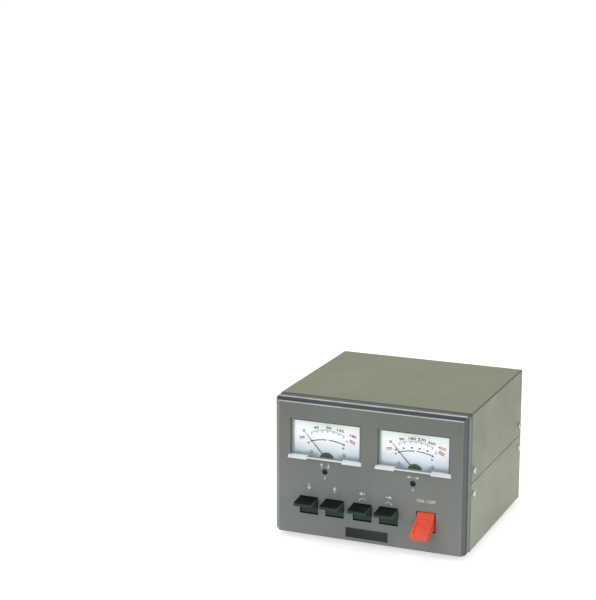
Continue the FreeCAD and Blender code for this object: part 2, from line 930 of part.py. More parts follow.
def make_meter(side):
    """One moving-coil meter: case, clear front, dial, movement, pointer, sill, adjuster."""
    middle = meter_middles[side]
    lens = new_body(f"meter_window_{side}")
    front = centred(middle, meter_half * 2, meter_low_z, meter_high_z)
    grow(lens, "Y", face_back_y, lens_back_y, [front])
    seat_radius = (S.adjuster_radius + S.running_fit) / SEAT_EASE
    adjuster_seat = many_sided(middle, adjuster_z, seat_radius, AXLE_SIDES)
    sink(lens, "Y", face_back_y, lens_back_y, [adjuster_seat])

    case = new_body(f"meter_case_{side}")
    grow(case, "Y", lens_back_y, bezel_back_y, [front])
    barrel = many_sided(middle, pivot_z, S.barrel_radius, RING_SIDES)
    grow(case, "Y", bezel_back_y, barrel_end_y, [barrel])
    wall = S.meter_wall
    room = centred(middle, (meter_half - wall) * 2, meter_low_z + 1.3, meter_high_z - wall)
    sink(case, "Y", lens_back_y, meter_floor_y, [room])
    bore = many_sided(middle, pivot_z, S.barrel_radius - S.barrel_wall, RING_SIDES)
    sink(case, "Y", meter_floor_y, barrel_floor_y, [bore])
    bearing = many_sided(middle, pivot_z, S.spindle_radius + S.running_fit, HEAD_SIDES)
    sink(case, "Y", barrel_floor_y, barrel_floor_y + 1.1, [bearing])
    dial_screw_z = level(S.dial_screw_level)
    dial_screw_xs = (middle - S.dial_screw_x, middle + S.dial_screw_x)
    posts = [centred(x, as_size(4.4), dial_screw_z - 2.2, dial_screw_z + 2.2) for x in dial_screw_xs]
    grow(case, "Y", dial_back_y, meter_floor_y, posts)
    pilot = S.dial_screw_radius + S.running_fit
    pilots = [many_sided(x, dial_screw_z, pilot, SHANK_SIDES) for x in dial_screw_xs]
    sink(case, "Y", dial_back_y, meter_floor_y, pilots)
    lamp_z = window_high_z - 13.0
    clips = [centred(middle + way * 8.8, as_size(1.6), lamp_z - 2.2, lamp_z + 2.2) for way in (-1, 1)]
    grow(case, "Y", dial_back_y + 0.8, meter_floor_y, clips)

    lamp_y = (dial_back_y + meter_floor_y) / 2 + 0.3
    lamp = prism("X", (middle - 8.0, lamp_y, lamp_z), 2.1, 16.0, HEAD_SIDES)
    shared["meter_lamps"].append(lamp)

    dial = new_body(f"dial_plate_{side}")
    dial_half = meter_half - wall - S.dial_play
    plate = centred(middle, dial_half * 2, level(S.dial_foot), meter_high_z - wall - S.dial_play)
    grow(dial, "Y", dial_y, dial_back_y, [plate])
    sink(dial, "Y", dial_y, dial_back_y, [many_sided(middle, pivot_z, S.dial_hole, RING_SIDES)] + pilots)
    for x in dial_screw_xs:
        head = prism("Y", (x, dial_y - 0.8, dial_screw_z), 1.9, 0.8, HEAD_SIDES)
        shank = prism("Y", (x, dial_y, dial_screw_z), S.dial_screw_radius, 4.0, SHANK_SIDES)
        shared["dial_screws"].append(joined(head, shank))

    hood = part_body(f"movement_hood_{side}")
    shared["movement_hoods"].append(hood)
    hood_y = lens_back_y + 0.2
    grow(hood, "Y", hood_y, hood_y + S.hood_wall, [many_sided(middle, pivot_z, S.hood_radius, RING_SIDES)])
    low_edge = rectangle(
        middle - S.hood_radius, middle + S.hood_radius, pivot_z - S.hood_radius, pivot_z - S.hood_drop
    )
    sink(hood, "Y", hood_y, hood_y + S.hood_wall, [low_edge])
    leg_z = pivot_z - S.hood_leg * 0.5
    legs = [
        centred(middle + way * S.hood_leg * 0.866, as_size(1.1), leg_z - 0.55, leg_z + 0.55)
        for way in (-1, 1)
    ]
    grow(hood, "Y", hood_y + S.hood_wall, dial_y, legs)

    magnet = part_body(f"magnet_ring_{side}")
    shared["magnet_rings"].append(magnet)
    ring_outer = S.barrel_radius - S.barrel_wall - 0.1
    ring_inner = ring_outer - S.magnet_wall
    grow(
        magnet,
        "Y",
        barrel_floor_y - S.magnet_length,
        barrel_floor_y,
        [many_sided(middle, pivot_z, radius, RING_SIDES) for radius in (ring_outer, ring_inner)],
    )

    bridge = part_body(f"bearing_bridge_{side}")
    shared["bearing_bridges"].append(bridge)
    bar = centred(middle, as_size(33.0), pivot_z - 2.5, pivot_z + 2.5)
    grow(bridge, "Y", meter_floor_y - 1.2, meter_floor_y, [bar])
    sink(bridge, "Y", meter_floor_y - 1.2, meter_floor_y, [bearing])

    coil_front_y = bezel_back_y
    coil_rear_y = barrel_floor_y - 1.0
    end_wall = 0.9
    core = part_body(f"iron_core_{side}")
    shared["iron_cores"].append(core)
    core_front_y = coil_front_y + end_wall + 0.4
    core_rear_y = coil_rear_y - end_wall - 0.4
    grow(core, "Y", core_front_y, core_rear_y, [many_sided(middle, pivot_z, S.core_radius, RING_SIDES)])
    core_post = many_sided(middle, pivot_z - 4.3, as_size(1.2), SHANK_SIDES)
    grow(core, "Y", core_rear_y, barrel_floor_y, [core_post])

    make_moving_system(side, middle, coil_front_y, coil_rear_y, end_wall)
    make_sill(side, middle)

    turner = new_body(f"zero_adjuster_{side}")
    head_y = face_back_y + 0.2
    grow(turner, "Y", head_y, lens_back_y + 0.3, [circle(middle, adjuster_z, S.adjuster_radius)])
    slot = centred(middle, as_size(0.8), adjuster_z - 2.0, adjuster_z + 2.0)
    sink(turner, "Y", head_y, head_y + 0.5, [slot])
    flange_y = lens_back_y + 0.3
    flange = many_sided(middle, adjuster_z, S.adjuster_radius + 0.35, HEAD_SIDES)
    grow(turner, "Y", flange_y, flange_y + 1.0, [flange])
    finger = many_sided(middle, adjuster_z + 1.4, as_size(0.6), SHANK_SIDES)
    grow(turner, "Y", flange_y + 1.0, meter_floor_y - 2.0, [finger])


def make_moving_system(side, middle, coil_front_y, coil_rear_y, end_wall):
    """Pointer with hub, tail and spindle, and the coil that turns with it.

    Both are drawn pointing straight up with the pivot at the body's own origin and are then
    turned to their rest by the placement.
    """
    half_wall = S.coil_width / 2
    inner = S.core_radius + S.coil_gap
    outer = inner + S.coil_wall
    pointer = new_body(f"meter_pointer_{side}")
    blade_y = S.pointer_depth
    blade = [(-0.6, 0.0), (0.6, 0.0), (as_size(0.22), S.pointer_length), (as_size(-0.22), S.pointer_length)]
    grow(pointer, "Y", blade_y, blade_y + S.pointer_wall, [blade])
    hub_back = blade_y + S.pointer_wall + 0.6
    grow(pointer, "Y", blade_y - 0.2, hub_back, [circle(0.0, 0.0, S.hub_radius)])
    grow(pointer, "Y", blade_y, hub_back, [centred(as_size(0.0), as_size(2.4), as_size(-5.2), as_size(0.0))])
    coil_front = coil_front_y - face_y
    grow(pointer, "Y", hub_back, coil_front, [many_sided(0.0, 0.0, S.spindle_radius, SHANK_SIDES)])

    coil = new_body(f"moving_coil_{side}")
    coil_rear = coil_rear_y - face_y
    grow(coil, "Y", coil_front, coil_front + end_wall, [rectangle(-outer, outer, -half_wall, half_wall)])
    bars = [
        rectangle(-outer, -inner, -half_wall, half_wall),
        rectangle(inner, outer, -half_wall, half_wall),
    ]
    grow(coil, "Y", coil_front + end_wall, coil_rear, bars)
    grow(coil, "Y", coil_rear - end_wall, coil_rear, [rectangle(-outer, outer, -half_wall, half_wall)])
    grow(coil, "Y", coil_rear, coil_rear + 1.9, [many_sided(0.0, 0.0, S.spindle_radius, SHANK_SIDES)])
    for body in (pointer, coil):
        body.Placement = FreeCAD.Placement(
            FreeCAD.Vector(), FreeCAD.Rotation(FreeCAD.Vector(0, -1, 0), 42.0)
        )
        bind(body, "Placement.Rotation.Angle", S.pointer_rest)
        put(body, middle, face_y, pivot_z)


def make_sill(side, middle):
    """Pale sill: a wedge on the face with a lip over the lower edge of the window."""
    sill = part_body(f"meter_sill_{side}")
    shared["meter_sills"].append(sill)
    top_z = window_low_z + 0.6
    low_z = window_low_z + 0.4 - S.sill_height
    section = [
        (face_y, low_z),
        (face_y, window_low_z),
        (face_back_y - 0.2, window_low_z),
        (face_back_y - 0.2, top_z),
        (face_y, top_z),
        (face_y - S.sill_reach, window_low_z - 0.4),
        (face_y - S.sill_reach, low_z + 0.8),
    ]
    grow(sill, "X", middle - S.sill_width / 2, middle + S.sill_width / 2, [section])
    lip_half = S.window_width / 2 - 0.15
    for way in (-1, 1):
        ends = sorted(
            (middle + way * lip_half, middle + way * (S.sill_width / 2 + 1.0)),
            key=lambda size: size.value,
        )
        sink(sill, "Y", face_y, face_back_y, [rectangle(ends[0], ends[1], low_z, top_z)])
    notch = centred(middle, S.sill_notch, low_z - 1.0, window_low_z - 1.3)
    sink(sill, "Y", face_y - S.sill_reach - 1.0, face_y, [notch])


def make_keys():
    """Four paddle keys with moulded axles, the frame that holds them, springs and switches."""
    axle_y = face_back_y + S.axle_radius + S.axle_play
    axle_z = level(S.key_axle_level)
    half = S.key_opening_width / 2 - S.key_side_gap
    tip_y = face_y - S.key_reach
    heel_end_y = depth(20.5)
    profile = [
        (tip_y + 1.4, axle_z + 7.2),
        (tip_y, axle_z + 4.3),
        (depth(-0.4), axle_z - 2.9),
        (depth(1.5), axle_z - 3.4),
        (depth(1.5), axle_z - 8.2),
        (axle_y, axle_z - 8.4),
        (depth(9.0), axle_z - 6.6),
        (depth(9.0), axle_z - 1.4),
        (heel_end_y, axle_z - 0.4),
        (heel_end_y, axle_z + 2.8),
        (depth(9.5), axle_z + 2.8),
        (depth(9.5), axle_z + 6.9),
        (depth(5.0), axle_z + 8.6),
        (depth(0.0), axle_z + 8.7),
    ]
    for name, middle in zip(("down", "up", "left", "right"), key_middles):
        body = new_body(f"key_{name}")
        grow(body, "X", middle - half, middle + half, [profile])
        for way in (-1, 1):
            ends = sorted(
                (middle + way * S.heel_width / 2, middle + way * (half + 1.0)),
                key=lambda size: size.value,
            )
            beside_heel = rectangle(depth(9.6), heel_end_y + 1.0, axle_z - 8.0, axle_z + 8.0)
            sink(body, "X", ends[0], ends[1], [beside_heel])
        nose_y = (tip_y + 2.0).value
        chamfer_off(body, edges_where(body, lambda point: point.y < nose_y), S.key_edge)
        reach = half + S.axle_length + S.key_side_gap
        grow(body, "X", middle - reach, middle + reach, [circle(axle_y, axle_z, S.axle_radius)])

    frame = new_body("key_frame")
    outline = rectangle(frame_left, frame_right, frame_low_z, frame_high_z)
    grow(frame, "Y", face_back_y, frame_back_y, [outline])
    ear_low = ear_z - 4.0
    ear_high = ear_z + 4.0
    ears = [
        rectangle(frame_left - frame_ear, frame_left, ear_low, ear_high),
        rectangle(frame_right, frame_right + frame_ear, ear_low, ear_high),
    ]
    grow(frame, "Y", face_back_y, face_back_y + 2.5, ears)
    ear_holes = [
        many_sided(x, ear_z, ear_post_radius + S.running_fit, SHANK_SIDES)
        for x in (frame_left - frame_ear / 2, frame_right + frame_ear / 2)
    ]
    sink(frame, "Y", face_back_y, face_back_y + 2.5, ear_holes)
    bays = [
        centred(middle, S.key_opening_width, frame_low_z + 1.6, frame_high_z - 1.6)
        for middle in key_middles
    ]
    bay_back_y = frame_back_y - 1.5
    sink(frame, "Y", face_back_y, bay_back_y, bays)
    wells = [
        centred(middle, as_size(15.0), face_back_y + 9.0, bay_back_y) for middle in key_middles
    ]
    sink(frame, "Z", frame_high_z - 1.6, frame_high_z, wells)
    finger_z = axle_z + 3.1
    slots = [
        centred(middle, S.spring_width + 1.0, finger_z - 0.4, finger_z + 1.0) for middle in key_middles
    ]
    sink(frame, "Y", bay_back_y, frame_back_y, slots)
    seat_half = S.axle_radius + S.running_fit
    seat_width = S.key_opening_width + (S.axle_length + 0.6) * 2
    seats = [
        centred(middle, seat_width, axle_z - seat_half, axle_z + seat_half) for middle in key_middles
    ]
    sink(frame, "Y", face_back_y, axle_y + seat_half, seats)

    comb = new_body("return_spring_comb")
    steel = S.spring_steel
    comb_left = key_middles[0] - S.spring_width
    comb_right = key_middles[3] + S.spring_width
    comb_back = rectangle(comb_left, comb_right, finger_z, finger_z + 6.0)
    grow(comb, "Y", frame_back_y, frame_back_y + steel, [comb_back])
    fingers = [
        centred(middle, S.spring_width, heel_end_y - 4.0, frame_back_y) for middle in key_middles
    ]
    grow(comb, "Z", finger_z, finger_z + steel, fingers)

    board = new_body("switch_board")
    board_low_z = frame_high_z
    board_high_z = board_low_z + S.board_wall
    board_front_y = face_back_y + 5.0
    board_outline = rectangle(frame_left, frame_right, board_front_y, frame_back_y + 14.0)
    grow(board, "Z", board_low_z, board_high_z, [board_outline])

    switches = []
    for middle in key_middles:
        button_y = depth(18.0)
        shell_low_z = board_low_z - 5.4
        shell = block(
            (middle - 6.2, middle + 6.2), (button_y - 3.5, button_y + 3.4), (shell_low_z, board_low_z)
        )
        button = block(
            (middle - 1.0, middle + 1.0),
            (button_y - 1.0, button_y + 1.0),
            (board_low_z - 7.2, shell_low_z),
        )
        switches.append(joined(shell, button))
    group("snap_switches", switches)


def make_power_switch():
    """Power paddle: a barrel that turns in two cheeks, with a dished lever in front."""
    axle_y = depth(S.rocker_axle_depth)
    axle_z = level(S.rocker_axle_level)
    radius = S.rocker_radius
    middle = S.power_shift
    tip_y = face_y - S.power_reach
    top_back = as_size(2.7)
    root_back = as_size(6.4)
    top_rise = root(radius * radius - top_back * top_back)
    root_drop = root(radius * radius - root_back * root_back)
    crease = (axle_y - 6.2, axle_z + 4.4)
    tip_top = (tip_y, axle_z - 8.0)
    profile = [
        (axle_y - top_back, axle_z + top_rise),
        crease,
        tip_top,
        (tip_y + 2.2, axle_z - 11.8),
        (axle_y - root_back, axle_z - root_drop, axle_y, 1),
    ]
    paddle = new_body("power_paddle")
    half = S.rocker_half_width
    grow(paddle, "X", middle - half, middle + half, [profile])
    nose_y = (tip_y + 3.0).value
    round_off(paddle, edges_where(paddle, lambda point: point.y < nose_y), S.paddle_edge)
    dish_half = half - S.rocker_rim
    run_y = tip_top[0] - crease[0]
    run_z = tip_top[1] - crease[1]
    dish = [
        (crease[0] + run_y * 0.1, crease[1] + run_z * 0.1 + 3.0),
        (crease[0] + run_y * 0.16, crease[1] + run_z * 0.16 - 1.3),
        (crease[0] + run_y * 0.84, crease[1] + run_z * 0.84 - 1.3),
        (crease[0] + run_y * 0.9, crease[1] + run_z * 0.9 + 3.0),
    ]
    sink(paddle, "X", middle - dish_half, middle + dish_half, [dish])
    reach = half + 0.25 + S.cheek_wall * 0.6
    grow(paddle, "X", middle - reach, middle + reach, [circle(axle_y, axle_z, S.axle_radius)])

    housing = new_body("power_housing")
    room_half = half + 0.25
    back_y = depth(30.0)
    low_z = level(S.power_level) - 2.0
    high_z = level(S.power_level) + 22.6
    grow(housing, "Y", face_back_y, back_y, [centred(middle, housing_half * 2, low_z, high_z)])
    cheek_half = room_half + S.cheek_wall
    cheek_low_z = axle_z - 6.0
    cheek_high_z = axle_z + 6.0
    grow(housing, "Y", depth(0.4), face_back_y, [centred(middle, cheek_half * 2, cheek_low_z, cheek_high_z)])
    room_low_z = axle_z - radius - 0.5
    room_high_z = axle_z + radius + 0.5
    sink(
        housing,
        "Y",
        depth(0.4),
        axle_y + radius + 0.6,
        [centred(middle, room_half * 2, room_low_z, room_high_z)],
    )
    seat_reach = room_half + S.cheek_wall
    seat_radius = (S.axle_radius + S.running_fit) / SEAT_EASE
    seat = many_sided(axle_y, axle_z, seat_radius, AXLE_SIDES)
    sink(housing, "X", middle - seat_reach, middle + seat_reach, [seat])


def make_rear_fittings():
    """Cord bush, fuse holder, round socket, terminal strips and trimmers."""
    low_z = level(S.low_fitting_level)
    bush_x = S.bush_x
    collar_y = rear_y + S.bush_flange
    tip_y = collar_y + S.bush_collar
    tip_length = S.bush_reach - S.bush_flange - S.bush_collar
    shell = joined(
        prism("Y", (bush_x, rear_y, low_z), S.bush_flange_radius, S.bush_flange, RING_SIDES),
        prism("Y", (bush_x, collar_y, low_z), S.bush_collar_radius, S.bush_collar, AXLE_SIDES),
        prism("Y", (bush_x, tip_y, low_z), S.bush_tip_radius, tip_length, AXLE_SIDES),
        prism("Y", (bush_x, rear_inner_y - 6.0, low_z), bush_body, S.panel_steel + 6.0, HEAD_SIDES),
        prism("Y", (bush_x, rear_inner_y - S.bush_nut, low_z), S.nut_radius, S.bush_nut, 6),
    )
    bore = rod(
        "Y", (bush_x, rear_inner_y - 7.0, low_z), S.bush_bore, S.bush_reach + S.panel_steel + 8.0
    )
    keep("cord_bush", without(shell, bore))

    fuse_x = S.fuse_x
    barrel_y = rear_inner_y - S.fuse_depth
    barrel_length = S.panel_steel + S.fuse_depth
    barrel = joined(
        prism("Y", (fuse_x, barrel_y, low_z), fuse_body, barrel_length, HEAD_SIDES),
        prism("Y", (fuse_x, rear_y, low_z), S.fuse_collar_radius, S.fuse_collar, RING_SIDES),
        prism("Y", (fuse_x, rear_inner_y - S.fuse_nut, low_z), S.nut_radius, S.fuse_nut, 6),
    )
    room_radius = (S.fuse_stem + S.running_fit) / SEAT_EASE
    room_y = rear_inner_y - S.fuse_room
    room = prism("Y", (fuse_x, room_y, low_z), room_radius, S.fuse_room + 6.0, AXLE_SIDES)
    keep("fuse_holder", without(barrel, room))
    cap = new_body("fuse_cap")
    cap_y = rear_y + S.fuse_collar + 0.3
    cap_end_y = rear_y + S.fuse_cap_reach
    grow(cap, "Y", cap_y, cap_end_y, [circle(fuse_x, low_z, S.fuse_cap_radius)])
    sink(cap, "Y", cap_end_y - 1.4, cap_end_y, [centred(fuse_x, as_size(1.4), low_z - 5.0, low_z + 5.0)])
    grow(cap, "Y", rear_inner_y - 16.0, cap_y, [many_sided(fuse_x, low_z, S.fuse_stem, HEAD_SIDES)])

    socket = new_body("round_socket")
    socket_z = level(S.socket_level)
    middle = as_size(0.0)
    reach = S.socket_flange / 2
    mouth_y = rear_y + S.socket_flange_wall
    flange = cut_corners(
        middle - reach, middle + reach, socket_z - reach, socket_z + reach, S.socket_corner
    )
    grow(socket, "Y", rear_y, mouth_y, [flange])
    grow(socket, "Y", rear_y - 12.0, rear_y, [many_sided(middle, socket_z, socket_body, HEAD_SIDES)])
    sink(socket, "Y", mouth_y - S.socket_depth, mouth_y, [circle(middle, socket_z, S.socket_bore)])

    count = 6
    screws = []
    for side, way in (("left", -1), ("right", 1)):
        strip = part_body(f"terminal_strip_{side}")
        shared["terminal_strips"].append(strip)
        centre = way * S.strip_offset
        half_length = S.strip_pitch * count / 2 + S.barrier_wall / 2
        strip_low = level(S.strip_level) - S.strip_height / 2
        strip_high = strip_low + S.strip_height
        base_y = rear_y + S.strip_base
        reach = half_length + S.strip_ear
        grow(strip, "Y", rear_y, base_y, [rectangle(centre - reach, centre + reach, strip_low, strip_high)])
        first = centre - S.strip_pitch * count / 2
        barrier = grow(
            strip,
            "Y",
            base_y,
            base_y + S.barrier_height,
            [centred(first, S.barrier_wall, strip_low, strip_high)],
        )
        repeat(strip, barrier, "X_Axis", count + 1, S.strip_pitch)
        for number in range(count):
            x = first + S.strip_pitch * (number + 0.5)
            spot = (x, base_y, level(S.strip_level))
            screws.append(
                prism("Y", spot, S.terminal_head_radius, S.terminal_head_height, HEAD_SIDES)
            )
    group("terminal_screws", screws)

    bodies = []
    trimmer_z = level(S.trimmer_level)
    body_back_y = rear_inner_y - 1.6
    for side, x in trimmer_middles.items():
        shell = block(
            (x - S.trimmer_body_half, x + S.trimmer_body_half),
            (body_back_y - S.trimmer_body_depth, body_back_y),
            (main_board_top_z, trimmer_z + 4.5),
        )
        seat_radius = (S.trimmer_radius + S.running_fit) / SEAT_EASE
        seat = prism("Y", (x, body_back_y - 4.0, trimmer_z), seat_radius, 5.0, AXLE_SIDES)
        bodies.append(without(shell, seat))
        shaft = new_body(f"trimmer_shaft_{side}")
        shaft_end_y = rear_y - 0.2
        grow(shaft, "Y", body_back_y - 3.5, shaft_end_y, [circle(x, trimmer_z, S.trimmer_radius)])
        slot = centred(x, as_size(0.7), trimmer_z - 2.5, trimmer_z + 2.5)
        sink(shaft, "Y", rear_y - 1.1, shaft_end_y, [slot])
    group("trimmer_bodies", bodies)


main_board_low_z = tray_top_z + S.standoff_height
main_board_top_z = main_board_low_z + S.board_wall


def make_power_supply():
    """Transformer under its strap, main board on standoffs with its larger parts."""
    middle = S.transformer_x
    front_y = depth(S.transformer_depth) - S.core_stack / 2
    back_y = front_y + S.core_stack
    core_low = tray_top_z + S.strap_steel
    core_high = core_low + S.core_height
    leg = S.core_leg
    core = new_body("transformer_core")
    grow(core, "Y", front_y, back_y, [centred(middle, S.core_width, core_low, core_high)])
    windows = [
        rectangle(left, left + leg, core_low + leg, core_high - leg)
        for left in (middle - leg * 2, middle + leg)
    ]
    sink(core, "Y", front_y, back_y, windows)
    winding = new_body("transformer_winding")
    play = 0.2
    reach = leg * 2 - play
    bulge = leg - play
    grow(winding, "Z", core_low + leg + play, core_high - leg - play, [
        cut_corners(middle - reach, middle + reach, front_y - bulge, back_y + bulge, as_size(4.0))
    ])
    sink(winding, "Z", core_low + leg, core_high - leg, [
        rectangle(middle - leg - play, middle + leg + play, front_y - play, back_y + play)
    ])
    strap = new_body("transformer_strap")
    steel = S.strap_steel
    half = S.core_width / 2
    outline = [
        (middle - half - steel - S.strap_foot, tray_top_z),
        (middle + half + steel + S.strap_foot, tray_top_z),
        (middle + half + steel + S.strap_foot, tray_top_z + steel),
        (middle + half + steel, tray_top_z + steel),
        (middle + half + steel, core_high + steel),
        (middle - half - steel, core_high + steel),
        (middle - half - steel, tray_top_z + steel),
        (middle - half - steel - S.strap_foot, tray_top_z + steel),
    ]
    inside = rectangle(middle - half, middle + half, core_low, core_high)
    centre_y = depth(S.transformer_depth)
    half_strap = S.strap_width / 2
    grow(strap, "Y", centre_y - half_strap, centre_y + half_strap, [outline, inside])

    board = new_body("main_board")
    left, right = S.main_board_left, S.main_board_right
    board_front, board_rear = depth(S.main_board_front), depth(S.main_board_rear)
    grow(board, "Z", main_board_low_z, main_board_top_z, [rectangle(left, right, board_front, board_rear)])
    spots = [
        (x, y)
        for x in (left + S.board_hole_inset, right - S.board_hole_inset)
        for y in (board_front + S.board_hole_inset, board_rear - S.board_rear_inset)
    ]
    stud_holes = [many_sided(x, y, as_size(1.7), SHANK_SIDES) for x, y in spots]
    sink(board, "Z", main_board_low_z, main_board_top_z, stud_holes)
    standoffs = []
    for x, y in spots:
        post = prism("Z", (x, y, tray_top_z), S.standoff_radius, S.standoff_height, 6)
        stud = prism("Z", (x, y, main_board_low_z), 1.6, 3.6, SHANK_SIDES)
        standoffs.append(joined(post, stud))
    group("board_standoffs", standoffs)

    relays = []
    relay_y = board_front + 4.0
    for number in range(4):
        relay_x = left + 13.0 + S.relay_pitch * number
        relays.append(
            block(
                (relay_x, relay_x + S.relay_width),
                (relay_y, relay_y + S.relay_length),
                (main_board_top_z, main_board_top_z + S.relay_height),
            )
        )
    group("relays", relays)
    cans = []
    for x, y, radius, height in ((24.0, 42.0, 9.0, 30.0), (46.0, 42.0, 9.0, 30.0), (66.0, 40.0, 6.5, 20.0)):
        cans.append(prism("Z", (left + x, board_front + y, main_board_top_z), radius, height, AXLE_SIDES))
    group("filter_capacitors", cans)


make_front_bezel()
make_badge_plate()
make_covers()
make_cover_screws()
make_frame_sheets()
make_fasteners()
make_feet()
for side in meter_middles:
    make_meter(side)
make_keys()
make_power_switch()
make_rear_fittings()
make_power_supply()
for label, members in shared.items():
    group(label, members)
doc.recompute()

for item in doc.Objects:
    if {"Invalid", "Error"} & set(item.State):
        raise RuntimeError(f"{item.Label} ({item.Name}) did not compute: {item.State}")
for label, piece in PIECES.items():
    if piece.Shape.isNull() or not piece.Shape.isValid():
        raise RuntimeError(f"{label} has no valid shape")
for label, piece in PIECES.items():
    piece.Shape.exportStep(f"parts/{label}.step")
print(len(PIECES), "pieces")
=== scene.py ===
import math

import bpy
from mathutils import Matrix, Vector


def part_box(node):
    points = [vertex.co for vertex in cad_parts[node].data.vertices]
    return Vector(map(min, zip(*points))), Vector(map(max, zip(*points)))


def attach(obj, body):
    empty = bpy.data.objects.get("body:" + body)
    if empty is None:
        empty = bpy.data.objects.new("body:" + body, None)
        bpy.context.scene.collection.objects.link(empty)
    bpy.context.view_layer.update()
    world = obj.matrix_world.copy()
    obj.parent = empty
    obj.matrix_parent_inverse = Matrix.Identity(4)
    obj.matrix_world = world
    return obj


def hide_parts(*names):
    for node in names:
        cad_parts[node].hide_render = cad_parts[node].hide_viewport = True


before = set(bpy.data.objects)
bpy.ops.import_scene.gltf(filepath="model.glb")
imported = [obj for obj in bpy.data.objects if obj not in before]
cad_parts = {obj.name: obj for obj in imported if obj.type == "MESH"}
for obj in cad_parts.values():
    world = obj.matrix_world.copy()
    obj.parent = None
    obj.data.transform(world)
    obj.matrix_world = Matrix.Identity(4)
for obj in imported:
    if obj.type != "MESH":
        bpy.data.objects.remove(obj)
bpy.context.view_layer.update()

MM = 0.001


# ---------------- places taken from the frame


def middle_of(node):
    """Centre of a CAD node's box."""
    low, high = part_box(node)
    return (Vector(low) + Vector(high)) / 2


def half_of(node):
    """Half the size of a CAD node's box."""
    low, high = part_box(node)
    return (Vector(high) - Vector(low)) / 2


FACE_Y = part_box("front_bezel")[0][1]
REAR_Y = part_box("rear_panel")[1][1]
BASE_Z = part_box("front_bezel")[0][2]
DIAL_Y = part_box("dial_plate_left")[0][1]
METER_X = {side: middle_of(f"meter_window_{side}").x for side in ("left", "right")}
KEYS = ("down", "up", "left", "right")
KEY_X = {name: middle_of(f"key_{name}").x for name in KEYS}
POWER_X = middle_of("power_paddle").x
BEVEL = 4.5 * MM
WINDOW_DEPTH = DIAL_Y - FACE_Y
WINDOW_HALF_X = 37.15 * MM
WINDOW_HIGH_Z = BASE_Z + 120.0 * MM
SILL_NOTCH_HALF = 18.7 * MM
PIVOT_LEVEL = 79.0
STRIP_X = 48.0 * MM
TERMINAL_PITCH = 10.0 * MM
TERMINALS = 6
PAN_HEAD = (3.4 * MM, 1.8 * MM)
SOCKET_DEPTH = 9.0 * MM
INLET_RADIUS = 3.4 * MM
PRINT = 0.03 * MM
TOUCH = 1e-6


# ---------------- bench helpers


def choose(pieces):
    """Leave edit mode with only some pieces selected, the first one active."""
    if bpy.context.mode != "OBJECT":
        bpy.ops.object.mode_set(mode="OBJECT")
    bpy.ops.object.select_all(action="DESELECT")
    for piece in pieces:
        piece.select_set(True)
    if pieces:
        bpy.context.view_layer.objects.active = pieces[0]


def settle():
    """Put the selected pieces' places into their meshes."""
    bpy.ops.object.transform_apply(location=True, rotation=True, scale=True)


def named(name):
    """Name the piece that was just added, with its place in its mesh."""
    piece = bpy.context.object
    piece.name = name
    piece.data.name = name
    choose([piece])
    settle()
    return piece


def cube(name, size):
    """Cube about the origin."""
    choose([])
    bpy.ops.mesh.primitive_cube_add(size=size, location=(0, 0, 0))
    return named(name)


def square(name):
    """Flat square, one metre wide, about the origin."""
    choose([])
    bpy.ops.mesh.primitive_plane_add(size=1.0, location=(0, 0, 0))
    return named(name)


def drum(name, sides, radius, height):
    """Cylinder standing on the origin."""
    choose([])
    bpy.ops.mesh.primitive_cylinder_add(
        vertices=sides, radius=radius, depth=height, location=(0, 0, height / 2)
    )
    return named(name)


def choose_faces(piece, test=lambda spot, look: True):
    """Open a piece with only the faces selected whose middle and normal pass a test."""
    choose([piece])
    mesh = piece.data
    for part in (*mesh.vertices, *mesh.edges):
        part.select = False
    for face in mesh.polygons:
        face.select = bool(test(face.center, face.normal))
    bpy.context.tool_settings.mesh_select_mode = (False, False, True)
    bpy.ops.object.mode_set(mode="EDIT")


def choose_edges(piece, test):
    """Open a piece with only the edges selected whose two ends pass a test."""
    choose([piece])
    mesh = piece.data
    for part in (*mesh.polygons, *mesh.vertices):
        part.select = False
    for edge in mesh.edges:
        edge.select = bool(test(*(mesh.vertices[end].co for end in edge.vertices)))
    bpy.context.tool_settings.mesh_select_mode = (False, True, False)
    bpy.ops.object.mode_set(mode="EDIT")


def lift(height):
    """Extrude the chosen faces along Z."""
    bpy.ops.mesh.extrude_region_move(TRANSFORM_OT_translate={"value": (0, 0, height)})


def weld(distance=TOUCH):
    """Merge the doubled points of the open piece."""
    bpy.ops.mesh.select_all(action="SELECT")
    bpy.ops.mesh.remove_doubles(threshold=distance)


def close_up(piece, outward=False):
    """Leave edit mode, first turning all faces outward if asked."""
    if outward:
        bpy.ops.mesh.select_all(action="SELECT")
        bpy.ops.mesh.normals_make_consistent(inside=False)
    bpy.ops.object.mode_set(mode="OBJECT")
    return piece


def push(piece, test, distance):
    """Extrude some faces outward, each along its own normal."""
    choose_faces(piece, test)
    bpy.ops.mesh.extrude_faces_move(TRANSFORM_OT_shrink_fatten={"value": distance})
    return close_up(piece)


def well(piece, test, rim, deep):
    """Sink a face inside a rim, by a step along Z."""
    choose_faces(piece, test)
    bpy.ops.mesh.inset(thickness=rim)
    lift(deep)
    return close_up(piece)


def ease(piece, test, offset, segments):
    """Round some edges."""
    choose_edges(piece, test)
    bpy.ops.mesh.bevel(offset=offset, segments=segments, profile=0.5, affect="EDGES")
    return close_up(piece)


def set_heights(piece, top, foot):
    """Move a cube's upper and lower points to two heights."""
    for vertex in piece.data.vertices:
        vertex.co.z = top if vertex.co.z > 0 else foot


def cut_with(piece, cutter):
    """Cut one solid out of another and throw the cutter away."""
    choose([piece])
    cut = piece.modifiers.new("recess", "BOOLEAN")
    cut.operation = "DIFFERENCE"
    cut.solver = "EXACT"
    cut.object = cutter
    bpy.ops.object.modifier_apply(modifier=cut.name)
    bpy.data.objects.remove(cutter)
    return piece


